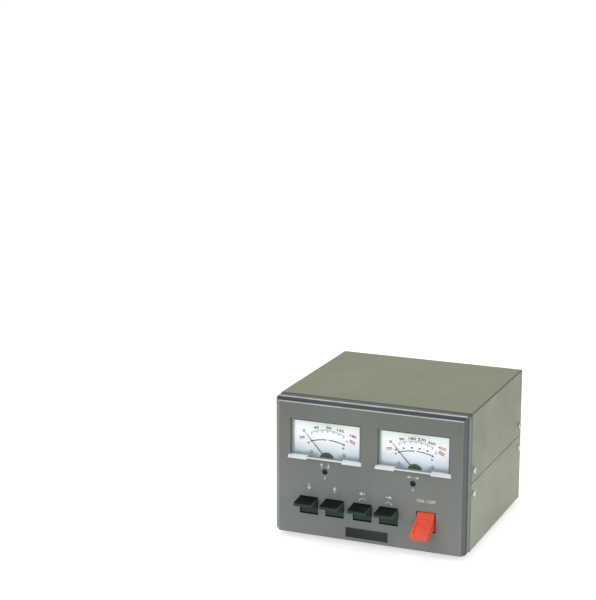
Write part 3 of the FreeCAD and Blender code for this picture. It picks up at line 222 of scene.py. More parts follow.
def smooth(piece, degrees=35.0):
    """Shade smooth, keeping edges sharper than an angle."""
    choose([piece])
    bpy.ops.object.shade_smooth_by_angle(angle=math.radians(degrees))
    return piece


def gather(pieces, name):
    """Join pieces into one."""
    choose(pieces)
    if len(pieces) > 1:
        bpy.ops.object.join()
    joined = bpy.context.object
    joined.name = name
    joined.data.name = name
    return joined


def set_down(model, places, name):
    """One piece made of copies of a model at their places, with the places in its mesh."""
    twins = []
    for count, place in enumerate(places):
        twin = model.copy()
        twin.data = model.data.copy()
        twin.name = f"{name}_{count + 1}"
        bpy.context.collection.objects.link(twin)
        twin.matrix_world = place
        twins.append(twin)
    bpy.data.objects.remove(model)
    choose(twins)
    settle()
    return gather(twins, name)


def placed(piece, place):
    """Put one flat mark at its place."""
    return set_down(piece, [place], piece.name)


def spin(degrees):
    """Turn about Z, anticlockwise."""
    return Matrix.Rotation(math.radians(degrees), 4, "Z")


def out(distance):
    """Step along Y."""
    return Matrix.Translation((0, distance, 0))


def facing(direction, point):
    """Placement that turns a piece's own +Z to a direction and sets it at a point."""
    turn = Vector(direction).to_track_quat("Z", "Y").to_matrix().to_4x4()
    return Matrix.Translation(Vector(point)) @ turn


UPRIGHT = Matrix.Rotation(math.radians(90), 4, "X")


def on_front(x, z, y=FACE_Y, degrees=0.0):
    """Placement of a flat mark, drawn in XY, on a plane that faces the front."""
    return Matrix.Translation((x, y, z)) @ UPRIGHT @ spin(degrees)


def on_rear(x, z):
    """Placement of a flat mark, drawn in XY, on the rear panel."""
    return Matrix.Translation((x, REAR_Y, z)) @ spin(180) @ UPRIGHT


def finish_piece(piece, material, body):
    """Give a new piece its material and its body."""
    piece.data.materials.clear()
    piece.data.materials.append(material)
    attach(piece, body)
    return piece


# ---------------- finishes: shared effects


def paint(red, green, blue):
    """A colour read off a paint card (0 to 255) as the shader wants it."""
    def straight(value):
        value /= 255
        return value / 12.92 if value <= 0.04045 else ((value + 0.055) / 1.055) ** 2.4
    return (straight(red), straight(green), straight(blue), 1.0)


def lighter(colour, share):
    """The same colour with a share of white."""
    return tuple(value + (1 - value) * share for value in colour[:3]) + (1.0,)


def darker(colour, share):
    """The same colour with a share of black."""
    return tuple(value * (1 - share) for value in colour[:3]) + (1.0,)


class Shading:
    """A shader tree being laid out. Each step gives the socket that carries its result."""

    def __init__(self, tree):
        self.tree = tree

    def feed(self, target, value):
        """Put a value or a link into a socket."""
        if isinstance(value, bpy.types.NodeSocket):
            self.tree.links.new(value, target)
        else:
            target.default_value = value

    def node(self, kind, feeds=None, **settings):
        node = self.tree.nodes.new(kind)
        for key, value in settings.items():
            setattr(node, key, value)
        for socket, value in (feeds or {}).items():
            self.feed(node.inputs[socket], value)
        return node

    def axes(self, vector):
        return self.node("ShaderNodeSeparateXYZ", {"Vector": vector}).outputs

    def calc(self, operation, first, second=None, clamp=False):
        feeds = {0: first} if second is None else {0: first, 1: second}
        node = self.node("ShaderNodeMath", feeds, operation=operation, use_clamp=clamp)
        return node.outputs[0]

    def size(self, value):
        return self.calc("ABSOLUTE", value)

    def less(self, first, second):
        return self.calc("SUBTRACT", first, second)

    def above(self, value, limit):
        return self.calc("GREATER_THAN", value, limit)

    def below(self, value, limit):
        return self.calc("LESS_THAN", value, limit)

    def both(self, first, second, clamp=False):
        return self.calc("MULTIPLY", first, second, clamp)

    def either(self, first, second):
        return self.calc("MAXIMUM", first, second)

    def line(self, distance, width):
        """Mask that fades to nothing at a width on both sides of zero."""
        share = self.calc("DIVIDE", self.size(distance), width)
        return self.calc("SUBTRACT", 1.0, share, clamp=True)

    def spread(self, value, low, high, start=0.0, end=1.0):
        """Map a value from one range to another."""
        feeds = {"Value": value, "From Min": start, "From Max": end, "To Min": low, "To Max": high}
        return self.node("ShaderNodeMapRange", feeds).outputs["Result"]

    def noise(self, at, scale, **settings):
        feeds = {"Vector": at, "Scale": scale, **settings}
        return self.node("ShaderNodeTexNoise", feeds).outputs["Fac"]


class Effect(Shading):
    """A shader node group being built, with numbers or vectors in and numbers out."""

    def __init__(self, name, inputs, outputs):
        super().__init__(bpy.data.node_groups.new(name, "ShaderNodeTree"))
        new_socket = self.tree.interface.new_socket
        new_socket("Vector", in_out="INPUT", socket_type="NodeSocketVector")
        for label, value in inputs.items():
            kind = "NodeSocketVector" if isinstance(value, tuple) else "NodeSocketFloat"
            new_socket(label, in_out="INPUT", socket_type=kind).default_value = value
        for label in outputs:
            new_socket(label, in_out="OUTPUT", socket_type="NodeSocketFloat")
        self.start = self.node("NodeGroupInput").outputs
        self.end = self.node("NodeGroupOutput").inputs
        self.at = self.start["Vector"]


def build_moulded_grain():
    """Fine pitted texture of moulded plastic or stoved paint, with slow changes of tone."""
    made = Effect("moulded_grain", {"Grain": 2500.0, "Clouds": 18.0}, ("Height", "Tone"))
    fine = made.noise(made.at, made.start["Grain"], Detail=3.0, Roughness=0.55)
    slow = made.noise(made.at, made.start["Clouds"], Detail=5.0)
    made.feed(made.end["Height"], fine)
    made.feed(made.end["Tone"], slow)
    return made.tree


def build_brushed_lines():
    """Long fine lines left by rolling or brushing, along one direction."""
    made = Effect("brushed_lines", {"Stretch": (40.0, 4000.0, 4000.0)}, ("Height", "Tone"))
    feeds = {0: made.at, 1: made.start["Stretch"]}
    pulled = made.node("ShaderNodeVectorMath", feeds, operation="MULTIPLY").outputs["Vector"]
    lines = made.noise(pulled, 1.0, Detail=4.0)
    clouds = made.noise(made.at, 60.0, Detail=3.0)
    made.feed(made.end["Height"], lines)
    made.feed(made.end["Tone"], made.both(lines, clouds))
    return made.tree


def build_edge_wear():
    """Mask along the edges of a box-shaped piece, broken up so that it looks rubbed."""
    inputs = {"Middle": (0.0, 0.0, 0.0), "Half": (1.0, 1.0, 1.0), "Width": 0.0006, "Broken": 0.5}
    made = Effect("edge_wear", inputs, ("Mask",))

    def vector(operation, *values):
        """Vector arithmetic on one or two sockets."""
        feeds = dict(enumerate(values))
        node = made.node("ShaderNodeVectorMath", feeds, operation=operation)
        return node.outputs["Vector"]

    reach = vector("ABSOLUTE", vector("SUBTRACT", made.at, made.start["Middle"]))
    past = made.axes(vector("SUBTRACT", reach, made.start["Half"]))
    near = [made.line(past[axis], made.start["Width"]) for axis in "XYZ"]
    pairs = [made.calc("MINIMUM", near[first], near[last]) for first, last in ((0, 1), (1, 2), (0, 2))]
    edge = made.either(made.either(pairs[0], pairs[1]), pairs[2])
    gaps = made.both(made.noise(made.at, 350.0, Detail=4.0), made.start["Broken"])
    made.feed(made.end["Mask"], made.calc("SUBTRACT", edge, gaps, clamp=True))
    return made.tree


def build_handling_marks():
    """Patches that are a little dull from dust and a little shiny from fingers."""
    made = Effect("handling_marks", {"Patches": 30.0}, ("Dust", "Shine"))
    patches = made.start["Patches"]
    dust = made.noise(made.at, patches, Detail=8.0, Roughness=0.65)
    shine = made.noise(made.at, made.both(patches, 2.3), Detail=2.0)
    made.feed(made.end["Dust"], made.spread(dust, 0.0, 1.0, 0.5, 0.8))
    made.feed(made.end["Shine"], shine)
    return made.tree


MOULDED_GRAIN = build_moulded_grain()
BRUSHED_LINES = build_brushed_lines()
EDGE_WEAR = build_edge_wear()
HANDLING_MARKS = build_handling_marks()


class Finish(Shading):
    """A material being built round one Principled shader."""

    def __init__(self, name, metallic=0.0, coat=0.0, shine=0.5):
        self.material = bpy.data.materials.new(name)
        self.material.use_nodes = True
        super().__init__(self.material.node_tree)
        self.shader = self.tree.nodes["Principled BSDF"].inputs
        self.shader["Metallic"].default_value = metallic
        self.shader["Coat Weight"].default_value = coat
        self.shader["Specular IOR Level"].default_value = shine
        where = self.node("ShaderNodeTexCoord").outputs
        self.place, self.facing = where["Object"], where["Normal"]

    def effect(self, tree, **values):
        node = self.node("ShaderNodeGroup", node_tree=tree)
        self.feed(node.inputs["Vector"], self.place)
        for label, value in values.items():
            node.inputs[label].default_value = value
        return node.outputs

    def wear(self, node, width, broken):
        """Mask of the rubbed edges of a CAD node."""
        middle, half = tuple(middle_of(node)), tuple(half_of(node))
        return self.effect(EDGE_WEAR, Middle=middle, Half=half, Width=width, Broken=broken)["Mask"]

    def blend(self, share, first, second):
        """Blend two colours, each a value or a socket."""
        feeds = {"Factor": share, 6: first, 7: second}
        return self.node("ShaderNodeMix", feeds, data_type="RGBA").outputs[2]

    def over(self, mask, share, under, top):
        """Lay a colour over another where a mask is, up to a share."""
        return self.blend(self.both(mask, share), under, top)

    def clouded(self, grain, dark, light):
        """Two colours that pass into each other in slow clouds."""
        return self.blend(self.spread(grain["Tone"], 0.0, 1.0, 0.3, 0.7), dark, light)

    def colour(self, colour, glow=0.0):
        """Base colour, which may also glow a little by itself, as painted light."""
        self.feed(self.shader["Base Color"], colour)
        if glow:
            self.feed(self.shader["Emission Color"], colour)
            self.shader["Emission Strength"].default_value = glow

    def dull(self, noise, low, high):
        """Roughness between two values, from the middle of a noise."""
        self.feed(self.shader["Roughness"], self.spread(noise, low, high, 0.3, 0.7))

    def relief(self, *coats):
        """Bumps, each a height, a strength and a distance, laid one over another."""
        feeds = {}
        for height, strength, distance in coats:
            feeds.update({"Height": height, "Strength": strength, "Distance": distance})
            feeds = {"Normal": self.node("ShaderNodeBump", feeds).outputs["Normal"]}
        self.feed(self.shader["Normal"], feeds["Normal"])


def moulded(
    name, colour, rough=(0.35, 0.5), grain=2600.0, depth=0.25,
    worn=None, wear=0.35, coat=0.0, dust=0.10, shine=0.5,
):
    """Moulded plastic or stoved paint: grain, slow tone, dust and rubbed edges."""
    made = Finish(name, coat=coat, shine=shine)
    colour = paint(*colour)
    pits = made.effect(MOULDED_GRAIN, Grain=grain)
    marks = made.effect(HANDLING_MARKS)
    tone = made.clouded(pits, darker(colour, 0.07), lighter(colour, 0.025))
    result = made.over(marks["Dust"], dust, tone, lighter(colour, 0.35))
    if worn:
        result = made.over(made.wear(worn, 0.0007, 0.6), wear, result, lighter(colour, 0.45))
    made.colour(result)
    made.dull(marks["Shine"], *rough)
    made.relief((pits["Height"], depth, 0.00012))
    return made.material


def rolled_metal(name, colour, rough, stretch, metallic=1.0):
    """Plated or bare metal with fine lines and cloudy plating."""
    made = Finish(name, metallic=metallic)
    lines = made.effect(BRUSHED_LINES, Stretch=stretch)
    marks = made.effect(HANDLING_MARKS, Patches=45.0)
    share = made.spread(lines["Tone"], 0.0, 1.0, 0.1, 0.45)
    made.colour(made.blend(share, darker(colour, 0.2), lighter(colour, 0.1)))
    dull = made.spread(lines["Height"], *rough, 0.3, 0.7)
    made.feed(made.shader["Roughness"], made.calc("ADD", dull, made.both(marks["Dust"], 0.18)))
    made.relief((lines["Height"], 0.12, 0.00008))
    return made.material


def front_moulding():
    """Bezel: flat face in printed neutral grey, bevels and sides in slate, with painted shade, highlights
    and shadow lines laid by the way each face points.
    """
    made = Finish("front_moulding", shine=0.4)
    middle, half = middle_of("front_bezel"), half_of("front_bezel")
    bevel_back_y = FACE_Y + BEVEL
    grain = made.effect(MOULDED_GRAIN, Grain=2300.0, Clouds=14.0)
    marks = made.effect(HANDLING_MARKS, Patches=26.0)
    spot, look = made.axes(made.place), made.axes(made.facing)

    def toned(*colour):
        """A colour with the slow changes of the moulding."""
        colour = paint(*colour)
        return made.clouded(grain, darker(colour, 0.06), lighter(colour, 0.02))

    near_face = made.below(spot["Y"], FACE_Y + 0.9 * MM)
    before_back = made.below(spot["Y"], bevel_back_y + 0.1 * MM)
    facing_up = made.above(look["Z"], 0.5)
    facing_right = made.above(look["X"], 0.4)
    # Colour by the way each face points: faces turned up or right take slate, darkest on the upward
    # bevel, as painted shade and reflection; faces turned left or down take the face grey.
    printed = made.both(made.below(look["Y"], -0.93), near_face)
    upward_bevel_painted_shade = made.both(facing_up, before_back)
    right_bevel_painted_light = made.both(facing_right, made.both(made.below(look["Y"], -0.4), before_back))
    sides = made.blend(right_bevel_painted_light, toned(88, 96, 92), toned(92, 102, 101))
    bevels_painted_by_facing = made.blend(upward_bevel_painted_shade, sides, toned(52, 61, 66))
    # The face grey is painted lighter towards the bottom and darker towards the top: painted light.
    painted_light_ramp = made.spread(spot["Z"], 0.0, 1.0, BASE_Z, BASE_Z + 2 * half.z)
    face_grey_painted_light = made.blend(painted_light_ramp, toned(142, 147, 144), toned(122, 126, 119))
    turned_away = made.either(made.below(look["X"], -0.5), made.below(look["Z"], -0.5))
    body = made.blend(made.either(printed, turned_away), bevels_painted_by_facing, face_grey_painted_light)
    # Dark band on the rear 3 mm of the upward faces: painted shadow of the gap under the cover's front
    # edge.
    cover_gap_painted_shadow = made.above(spot["Y"], middle.y + half.y - 3.0 * MM)
    body = made.blend(made.both(cover_gap_painted_shadow, facing_up), body, paint(58, 66, 58))

    # Pale lines along the inner and outer bevel edges are painted highlights, broken up by noise; on the
    # right the outer edge line is a dark painted shadow line.
    inside_x = made.less(made.size(spot["X"]), half.x - BEVEL)
    inside_z = made.less(spot["Z"], middle.z + half.z - BEVEL)
    inner_painted_highlight = made.both(made.line(made.either(inside_x, inside_z), 0.9 * MM), near_face)
    inner_highlight_share = made.spread(made.above(inside_z, -0.4 * MM), 0.12, 1.0)
    outer_painted_edge_line = made.line(made.less(spot["Y"], bevel_back_y), 1.2 * MM)
    pale = made.either(made.both(inner_painted_highlight, inner_highlight_share), made.both(outer_painted_edge_line, facing_up))
    gaps = made.spread(marks["Shine"], 0.8, 1.6, 0.3, 0.7)
    with_painted_edge_lines = made.blend(made.both(pale, gaps, clamp=True), body, paint(206, 211, 208))
    with_painted_edge_lines = made.blend(made.both(outer_painted_edge_line, facing_right), with_painted_edge_lines, paint(38, 46, 48))
    made.colour(made.over(marks["Dust"], 0.06, with_painted_edge_lines, paint(190, 190, 184)))
    made.feed(made.shader["Roughness"], made.spread(printed, 0.4, 0.55))
    made.relief((grain["Height"], 0.22, 0.0001))
    return made.material


def key_plastic(name):
    """Paddle: green-black plastic, painted darker on its top than on its front and sides as painted
    shade.
    """
    made = Finish(f"key_plastic_{name}", shine=0.06)
    grain = made.effect(MOULDED_GRAIN, Grain=2600.0)
    marks = made.effect(HANDLING_MARKS)
    # Front and sides painted lighter green and the top darker: painted light and shade by the way each
    # face points.
    upper = made.spread(made.axes(made.facing)["Z"], 0.0, 1.0, 0.35, 0.6)
    painted_shade_by_facing = made.blend(upper, paint(73, 93, 80), paint(21, 34, 31))
    dusty = made.over(marks["Dust"], 0.05, painted_shade_by_facing, paint(120, 130, 124))
    tone = made.blend(made.spread(grain["Tone"], 0.0, 0.25, 0.3, 0.7), dusty, paint(14, 20, 19))
    made.colour(made.over(made.wear(f"key_{name}", 0.0006, 0.6), 0.12, tone, paint(130, 140, 136)))
    made.dull(marks["Shine"], 0.36, 0.5)
    made.relief((grain["Height"], 0.2, 0.00012))
    return made.material


def cover_paint(node, colour):
    """Olive stoved enamel with a soft orange peel, rubbed along the folds, with painted shade along the
    folds and on the upper part of the sides.
    """
    made = Finish(f"olive_enamel_{node}")
    peel = made.effect(MOULDED_GRAIN, Grain=620.0, Clouds=6.0)
    fine = made.effect(MOULDED_GRAIN, Grain=3000.0, Clouds=25.0)
    marks = made.effect(HANDLING_MARKS, Patches=14.0)
    tone = made.clouded(peel, darker(colour, 0.06), lighter(colour, 0.03))
    specks = made.spread(fine["Height"], 0.0, 0.35, 0.55, 0.8)
    dusty = made.over(
        marks["Dust"], 0.04, made.blend(specks, tone, darker(colour, 0.18)), paint(180, 182, 164)
    )
    rubbed = made.over(made.wear(node, 0.0011, 0.75), 0.4, dusty, paint(190, 192, 176))
    look = made.axes(made.facing)
    sideways = made.size(look["X"])
    # The sides are painted darker towards the top: painted shade.
    painted_light_ramp = made.spread(made.axes(made.place)["Z"], 0.0, 1.0, BASE_Z + 56 * MM, BASE_Z + 140 * MM)
    upper_sides_painted_shade = made.both(painted_light_ramp, made.spread(sideways, 0.0, 0.3, 0.6, 0.8))
    sides = made.blend(upper_sides_painted_shade, rubbed, paint(72, 78, 63))
    # A dark line where the cover's top bends into its sides: painted shade along the fold.
    fold_painted_shade = made.spread(made.both(sideways, look["Z"]), 0.0, 1.0, 0.12, 0.42)
    made.colour(made.over(fold_painted_shade, 0.75, sides, paint(70, 78, 62)))
    made.dull(marks["Shine"], 0.4, 0.52)
    made.relief((peel["Height"], 0.12, 0.0005), (fine["Height"], 0.12, 0.0001))
    return made.material


def clear_window():
    """Clear acrylic cover: almost nothing but its gloss and a few hairlines."""
    made = Finish("clear_acrylic")
    made.shader["Alpha"].default_value = 0.05
    made.shader["Base Color"].default_value = (0.86, 0.93, 0.9, 1.0)
    lines = made.effect(BRUSHED_LINES, Stretch=(90.0, 90.0, 5000.0))
    made.feed(made.shader["Roughness"], made.spread(lines["Height"], 0.02, 0.09, 0.4, 0.75))
    return made.material


def dial_card(side):
    """Dial: pale card with the light of its lamp from above painted on, painted shade in its lower
    corners and along its foot, and the painted shadow of the window frame round it.
    """
    made = Finish(f"dial_card_{side}")
    spot = made.axes(made.place)
    across = made.size(made.less(spot["X"], METER_X[side]))
    # Card painted brighter towards the top and greener at the top middle: painted lamp light.
    height = made.spread(spot["Z"], 0.0, 1.0, BASE_Z + 80 * MM, WINDOW_HIGH_Z)
    painted_lamp_falloff = made.spread(height, 0.0, 1.0, 0.05, 0.6)
    card = made.blend(painted_lamp_falloff, paint(190, 206, 220), paint(248, 251, 255))
    centre = made.spread(across, 1.0, 0.25, 0.0, 34 * MM)
    glow = made.both(made.spread(height, 0.0, 1.0, 0.66, 0.98), centre, clamp=True)
    card = made.over(glow, 0.9, card, paint(168, 202, 162))
    # Lower outer corners painted bluish and darker: painted shade.
    outward = made.spread(across, 0.0, 1.0, 14 * MM, 34 * MM)
    lower_corner_painted_shade = made.both(made.spread(height, 1.0, 0.0, 0.0, 0.35), outward, clamp=True)
    card = made.over(lower_corner_painted_shade, 0.35, card, paint(140, 152, 176))
    # A dark band along the foot of the card: painted shadow.
    foot = made.spread(spot["Z"], 1.0, 0.0, BASE_Z + 83 * MM, BASE_Z + 86.5 * MM)
    foot_painted_shadow = made.both(foot, made.spread(across, 0.0, 1.0, 8 * MM, 14 * MM))
    card = made.over(foot_painted_shadow, 0.55, card, paint(84, 98, 112))
    grain = made.effect(MOULDED_GRAIN, Grain=5200.0, Clouds=90.0)
    card = made.blend(made.spread(grain["Tone"], 0.0, 0.08, 0.35, 0.75), card, paint(196, 200, 198))
    # Dark bands just inside where the window frame's top and right edges hide the card, as seen from
    # above and to the right: painted shadow of the frame.
    seen_high_z = WINDOW_HIGH_Z - WINDOW_DEPTH * 0.33
    seen_right_x = METER_X[side] + WINDOW_HALF_X - WINDOW_DEPTH * 0.35
    top_frame_painted_shadow = made.spread(spot["Z"], 0.0, 1.0, seen_high_z - 1.6 * MM, seen_high_z - 0.9 * MM)
    right_frame_painted_shadow = made.spread(spot["X"], 0.0, 1.0, seen_right_x - 1.3 * MM, seen_right_x - 0.7 * MM)
    # The card also glows a little: painted lamp light.
    made.colour(made.blend(made.either(top_frame_painted_shadow, right_frame_painted_shadow), card, paint(24, 38, 28)), glow=0.4)
    made.dull(grain["Height"], 0.5, 0.68)
    made.relief((grain["Height"], 0.1, 0.00005))
    return made.material


def pearl_sill():
    """Pearly sill plastic, bright at its two ends, painted grey as shade over the notch in its middle,
    and glowing a little as painted light.
    """
    made = Finish("pearl_sill", coat=0.2)
    spot = made.axes(made.place)
    across = made.size(made.less(made.size(spot["X"]), METER_X["right"]))
    grain = made.effect(MOULDED_GRAIN, Grain=2600.0)
    pearl = made.clouded(grain, paint(232, 235, 243), paint(248, 249, 253))
    sill_high_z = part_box("meter_sills")[1][2]
    # In the notch the sill is painted grey above and below a thin bright lip: painted shade.
    below_lip = made.below(spot["Z"], sill_high_z - 1.5 * MM)
    above_lip = made.above(spot["Z"], sill_high_z - 0.5 * MM)
    notch_painted_shade = made.both(made.below(across, SILL_NOTCH_HALF), made.either(below_lip, above_lip))
    # The sill also glows a little: painted light.
    made.colour(made.blend(notch_painted_shade, pearl, paint(132, 140, 138)), glow=0.06)
    made.dull(grain["Height"], 0.2, 0.34)
    made.relief((grain["Height"], 0.08, 0.00008))
    return made.material


def board_laminate(name, lacquer):
    """Circuit board: lacquer over copper tracks, with the tracks showing as raised lines."""
    made = Finish(name, coat=0.3)
    feeds = {
        "Vector": made.place,
        "Scale": 140.0,
        "Mortar Size": 0.06,
        "Color1": lacquer,
        "Color2": darker(lacquer, 0.25),
        "Mortar": lighter(lacquer, 0.12),
    }
    grid = made.node("ShaderNodeTexBrick", feeds, offset=0.5).outputs
    grain = made.effect(MOULDED_GRAIN, Grain=900.0)
    share = made.spread(grain["Tone"], 0.0, 0.4, 0.35, 0.7)
    made.colour(made.blend(share, grid["Color"], darker(lacquer, 0.3)))
    made.dull(grain["Height"], 0.25, 0.4)
    made.relief((grid["Fac"], 0.3, 0.00008))
    return made.material


def ribs(made, pitch, axis, profile, **feeds):
    """Bands side by side along one axis, one to each pitch."""
    bands_to_scale = 0.314
    feeds.update({"Vector": made.place, "Scale": bands_to_scale / pitch})
    settings = {"wave_type": "BANDS", "bands_direction": axis, "wave_profile": profile}
    return made.node("ShaderNodeTexWave", feeds, **settings).outputs["Fac"]


def wound_wire(name, colour, pitch, axis):
    """Winding: turns side by side across one axis, painted darker between turns and lighter on their
    crests as painted shade and sheen.
    """
    made = Finish(name, metallic=0.25, coat=0.4)
    turns = ribs(made, pitch, axis, "SIN", Distortion=0.4)
    grain = made.effect(MOULDED_GRAIN, Grain=1500.0)
    # Darker in the grooves between turns and lighter on their crests: painted shade and painted
    # highlight.
    made.colour(made.blend(turns, darker(colour, 0.45), lighter(colour, 0.05)))
    made.dull(grain["Height"], 0.3, 0.5)
    made.relief((turns, 0.5, pitch * 0.5))
    return made.material


def stacked_iron():
    """Transformer core: thin sheets stacked front to back, with a little rust bloom."""
    made = Finish("stacked_iron_sheets", metallic=0.6)
    sheets = ribs(made, 0.5 * MM, "Y", "SAW")
    marks = made.effect(HANDLING_MARKS, Patches=60.0)
    steel = made.blend(sheets, paint(66, 68, 74), paint(112, 114, 118))
    made.colour(made.over(marks["Dust"], 0.7, steel, paint(112, 72, 48)))
    made.dull(marks["Shine"], 0.4, 0.65)
    made.relief((sheets, 0.4, 0.00015))
    return made.material


def capacitor_sleeve():
    """Can in shrunk plastic sleeve, with a pale stripe down one side and a bare top."""
    made = Finish("capacitor_sleeve", coat=0.3)
    look = made.axes(made.facing)
    grain = made.effect(MOULDED_GRAIN, Grain=700.0)
    sleeve = made.clouded(grain, paint(24, 34, 62), paint(34, 46, 82))
    striped = made.blend(made.below(look["X"], -0.85), sleeve, paint(186, 192, 198))
    made.colour(made.blend(made.above(look["Z"], 0.9), striped, paint(168, 170, 172)))
    made.dull(grain["Height"], 0.25, 0.4)
    made.relief((grain["Height"], 0.1, 0.0002))
    return made.material


def printing_ink(name, colour):
    """Screen printed ink, a little uneven in its tone and gloss."""
    made = Finish(name)
    colour = paint(*colour)
    grain = made.effect(MOULDED_GRAIN, Grain=4200.0, Clouds=200.0)
    made.colour(made.clouded(grain, darker(colour, 0.12), lighter(colour, 0.03)))
    made.dull(grain["Height"], 0.4, 0.6)
    made.relief((grain["Height"], 0.15, 0.00003))
    return made.material


ALONG_Y = (2600.0, 60.0, 2600.0)
PLATED_SCREW = rolled_metal("nickel_plated_screw", (0.62, 0.62, 0.56), (0.2, 0.36), (900.0, 900.0, 900.0))
ZINC_SHEET = rolled_metal("zinc_plated_sheet", (0.60, 0.61, 0.60), (0.32, 0.5), ALONG_Y, metallic=0.9)
# Near-black sheet for the front subpanel and side rails, so the gaps and seams in front of them read
# dark: painted shade.
PAINTED_SHADE_SHEET = rolled_metal(
    "painted_shade_black_sheet", (0.035, 0.037, 0.037), (0.45, 0.6), ALONG_Y, metallic=0.3
)
SPRING_STEEL = rolled_metal("blued_spring_steel", (0.42, 0.45, 0.5), (0.2, 0.35), (3000.0, 80.0, 3000.0))
BRASS = rolled_metal("turned_brass", (0.78, 0.60, 0.30), (0.2, 0.36), (3000.0, 90.0, 3000.0))
DARK_IRON = rolled_metal(
    "bare_soft_iron", (0.24, 0.24, 0.25), (0.4, 0.6), (1500.0, 90.0, 1500.0), metallic=0.8
)
BLACK_INK = printing_ink("black_dial_ink", (22, 22, 26))
RED_INK = printing_ink("red_dial_ink", (226, 52, 36))
WHITE_INK = printing_ink("white_face_ink", (232, 234, 232))
BLACK_PLASTIC = moulded("black_phenolic", (30, 31, 32), (0.3, 0.45), 1800.0)
SMOKED_HOOD = moulded("smoked_hood", (44, 60, 38), (0.4, 0.55), 2200.0, 0.15, dust=0.04, shine=0.2)
POINTER_BLACK = moulded("pointer_black", (34, 34, 38), (0.35, 0.5), 5000.0, 0.1)

NODE_FINISHES = {
    "front_bezel": front_moulding(),
    "top_cover": cover_paint("top_cover", paint(140, 147, 120)),
    # Both covers carry one olive enamel; the bottom cover's is lighter as painted light on the lower
    # sides.
    "bottom_cover": cover_paint("bottom_cover", paint(148, 155, 130)),
    "badge_plate": moulded(
        "badge_enamel", (26, 35, 32), (0.3, 0.42), 3800.0, 0.12,
        worn="badge_plate", wear=0.5, dust=0.04, shine=0.25,
    ),
    "meter_case_left": moulded("meter_case_grey", (172, 187, 178), (0.45, 0.6), 2400.0),
    "meter_window_left": clear_window(),
    "dial_plate_left": dial_card("left"),
    "dial_plate_right": dial_card("right"),
    "dial_screws": rolled_metal(
        "yellow_passivated_screw", (0.46, 0.50, 0.42), (0.28, 0.42), (1200.0, 1200.0, 1200.0)
    ),
    "movement_hoods": SMOKED_HOOD,
    "magnet_rings": moulded("ferrite_magnet", (58, 58, 60), (0.5, 0.7), 900.0, 0.4),
    "bearing_bridges": BRASS,
    "iron_cores": DARK_IRON,
    "meter_pointer_left": POINTER_BLACK,
    "moving_coil_left": wound_wire("enamelled_copper", paint(168, 84, 40), 0.12 * MM, "Y"),
    "meter_lamps": moulded("lamp_glass", (236, 230, 206), (0.05, 0.14), 900.0, 0.08, coat=0.4),
    "meter_sills": pearl_sill(),
    "zero_adjuster_left": BLACK_PLASTIC,
    "key_frame": BLACK_PLASTIC,
    "return_spring_comb": SPRING_STEEL,
    "switch_board": board_laminate("switch_board_laminate", paint(120, 92, 44)),
    "main_board": board_laminate("main_board_laminate", paint(28, 84, 48)),
    "snap_switches": moulded("switch_shell", (48, 46, 44), grain=2000.0),
    "power_housing": moulded("switch_housing_black", (26, 26, 27), grain=2000.0),
    # Subpanel and side rails in the near-black sheet: painted shade behind the gaps.
    "front_subpanel": PAINTED_SHADE_SHEET,
    "rear_panel": rolled_metal(
        "rear_sheet", (0.58, 0.59, 0.58), (0.34, 0.52), (70.0, 2600.0, 2600.0), metallic=0.9
    ),
    "side_rails": PAINTED_SHADE_SHEET,
    "chassis_tray": ZINC_SHEET,
    "rubber_feet": moulded("foot_rubber", (34, 34, 35), (0.6, 0.8), 1400.0, 0.35),
    "terminal_strips": moulded(
        "strip_bakelite", (36, 32, 30), (0.32, 0.5), 1500.0, worn="terminal_strips"
    ),
    "round_socket": BLACK_PLASTIC,
    "fuse_holder": BLACK_PLASTIC,
    "fuse_cap": moulded("fuse_cap_black", (28, 28, 29), (0.28, 0.42), 1700.0),
    "cord_bush": moulded("bush_nylon", (32, 33, 34), (0.45, 0.6), 1500.0),
    "trimmer_bodies": moulded("trimmer_blue_shell", (46, 84, 150), (0.3, 0.45), 1800.0),
    "trimmer_shaft_left": moulded("trimmer_white_nylon", (222, 220, 212), (0.4, 0.55), 1800.0),
    "transformer_core": stacked_iron(),
    "transformer_strap": rolled_metal(
        "strap_sheet", (0.62, 0.60, 0.5), (0.3, 0.48), (60.0, 2400.0, 2400.0)
    ),
    "transformer_winding": wound_wire("wound_yellow_tape", paint(206, 170, 60), 2.2 * MM, "Z"),
    "board_standoffs": BRASS,
    "relays": moulded("relay_shell", (48, 60, 72), (0.15, 0.28), 1600.0, 0.1, worn="relays", coat=0.3),
    "filter_capacitors": capacitor_sleeve(),
    "power_paddle": moulded(
        "red_paddle_plastic", (255, 80, 38), (0.3, 0.42), 2800.0, 0.12, coat=0.1, dust=0.03
    ),
}
for node in ("bezel", "foot", "panel", "cover", "terminal"):
    NODE_FINISHES[f"{node}_screws"] = PLATED_SCREW
for name in KEYS:
    NODE_FINISHES[f"key_{name}"] = key_plastic(name)
for node in (
    "meter_case", "meter_window", "meter_pointer", "moving_coil", "zero_adjuster", "trimmer_shaft",
):
    NODE_FINISHES[f"{node}_right"] = NODE_FINISHES[f"{node}_left"]

for node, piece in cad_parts.items():
    for place in piece.material_slots:
        place.material = NODE_FINISHES[node]


# ---------------- screws


def cross_cutter(arm, wall, deep):
    """Cross-shaped punch, narrower at its foot, pointing down from z = 0."""
    cutter = cube("cross_punch", wall)
    push(cutter, lambda spot, look: abs(look.z) < 0.5, arm - wall / 2)
    set_heights(cutter, deep * 0.5, -deep)
    choose_faces(cutter, lambda spot, look: look.z < -0.5)
    bpy.ops.transform.resize(value=(0.45, 0.45, 1.0))
    return close_up(cutter)


def slot_cutter(length, width, deep):
    """Straight saw for a screwdriver slot across z = 0."""
    cutter = cube("slot_saw", width)
    push(cutter, lambda spot, look: abs(look.x) > 0.5, length / 2)
    set_heights(cutter, deep, -deep)
    return cutter


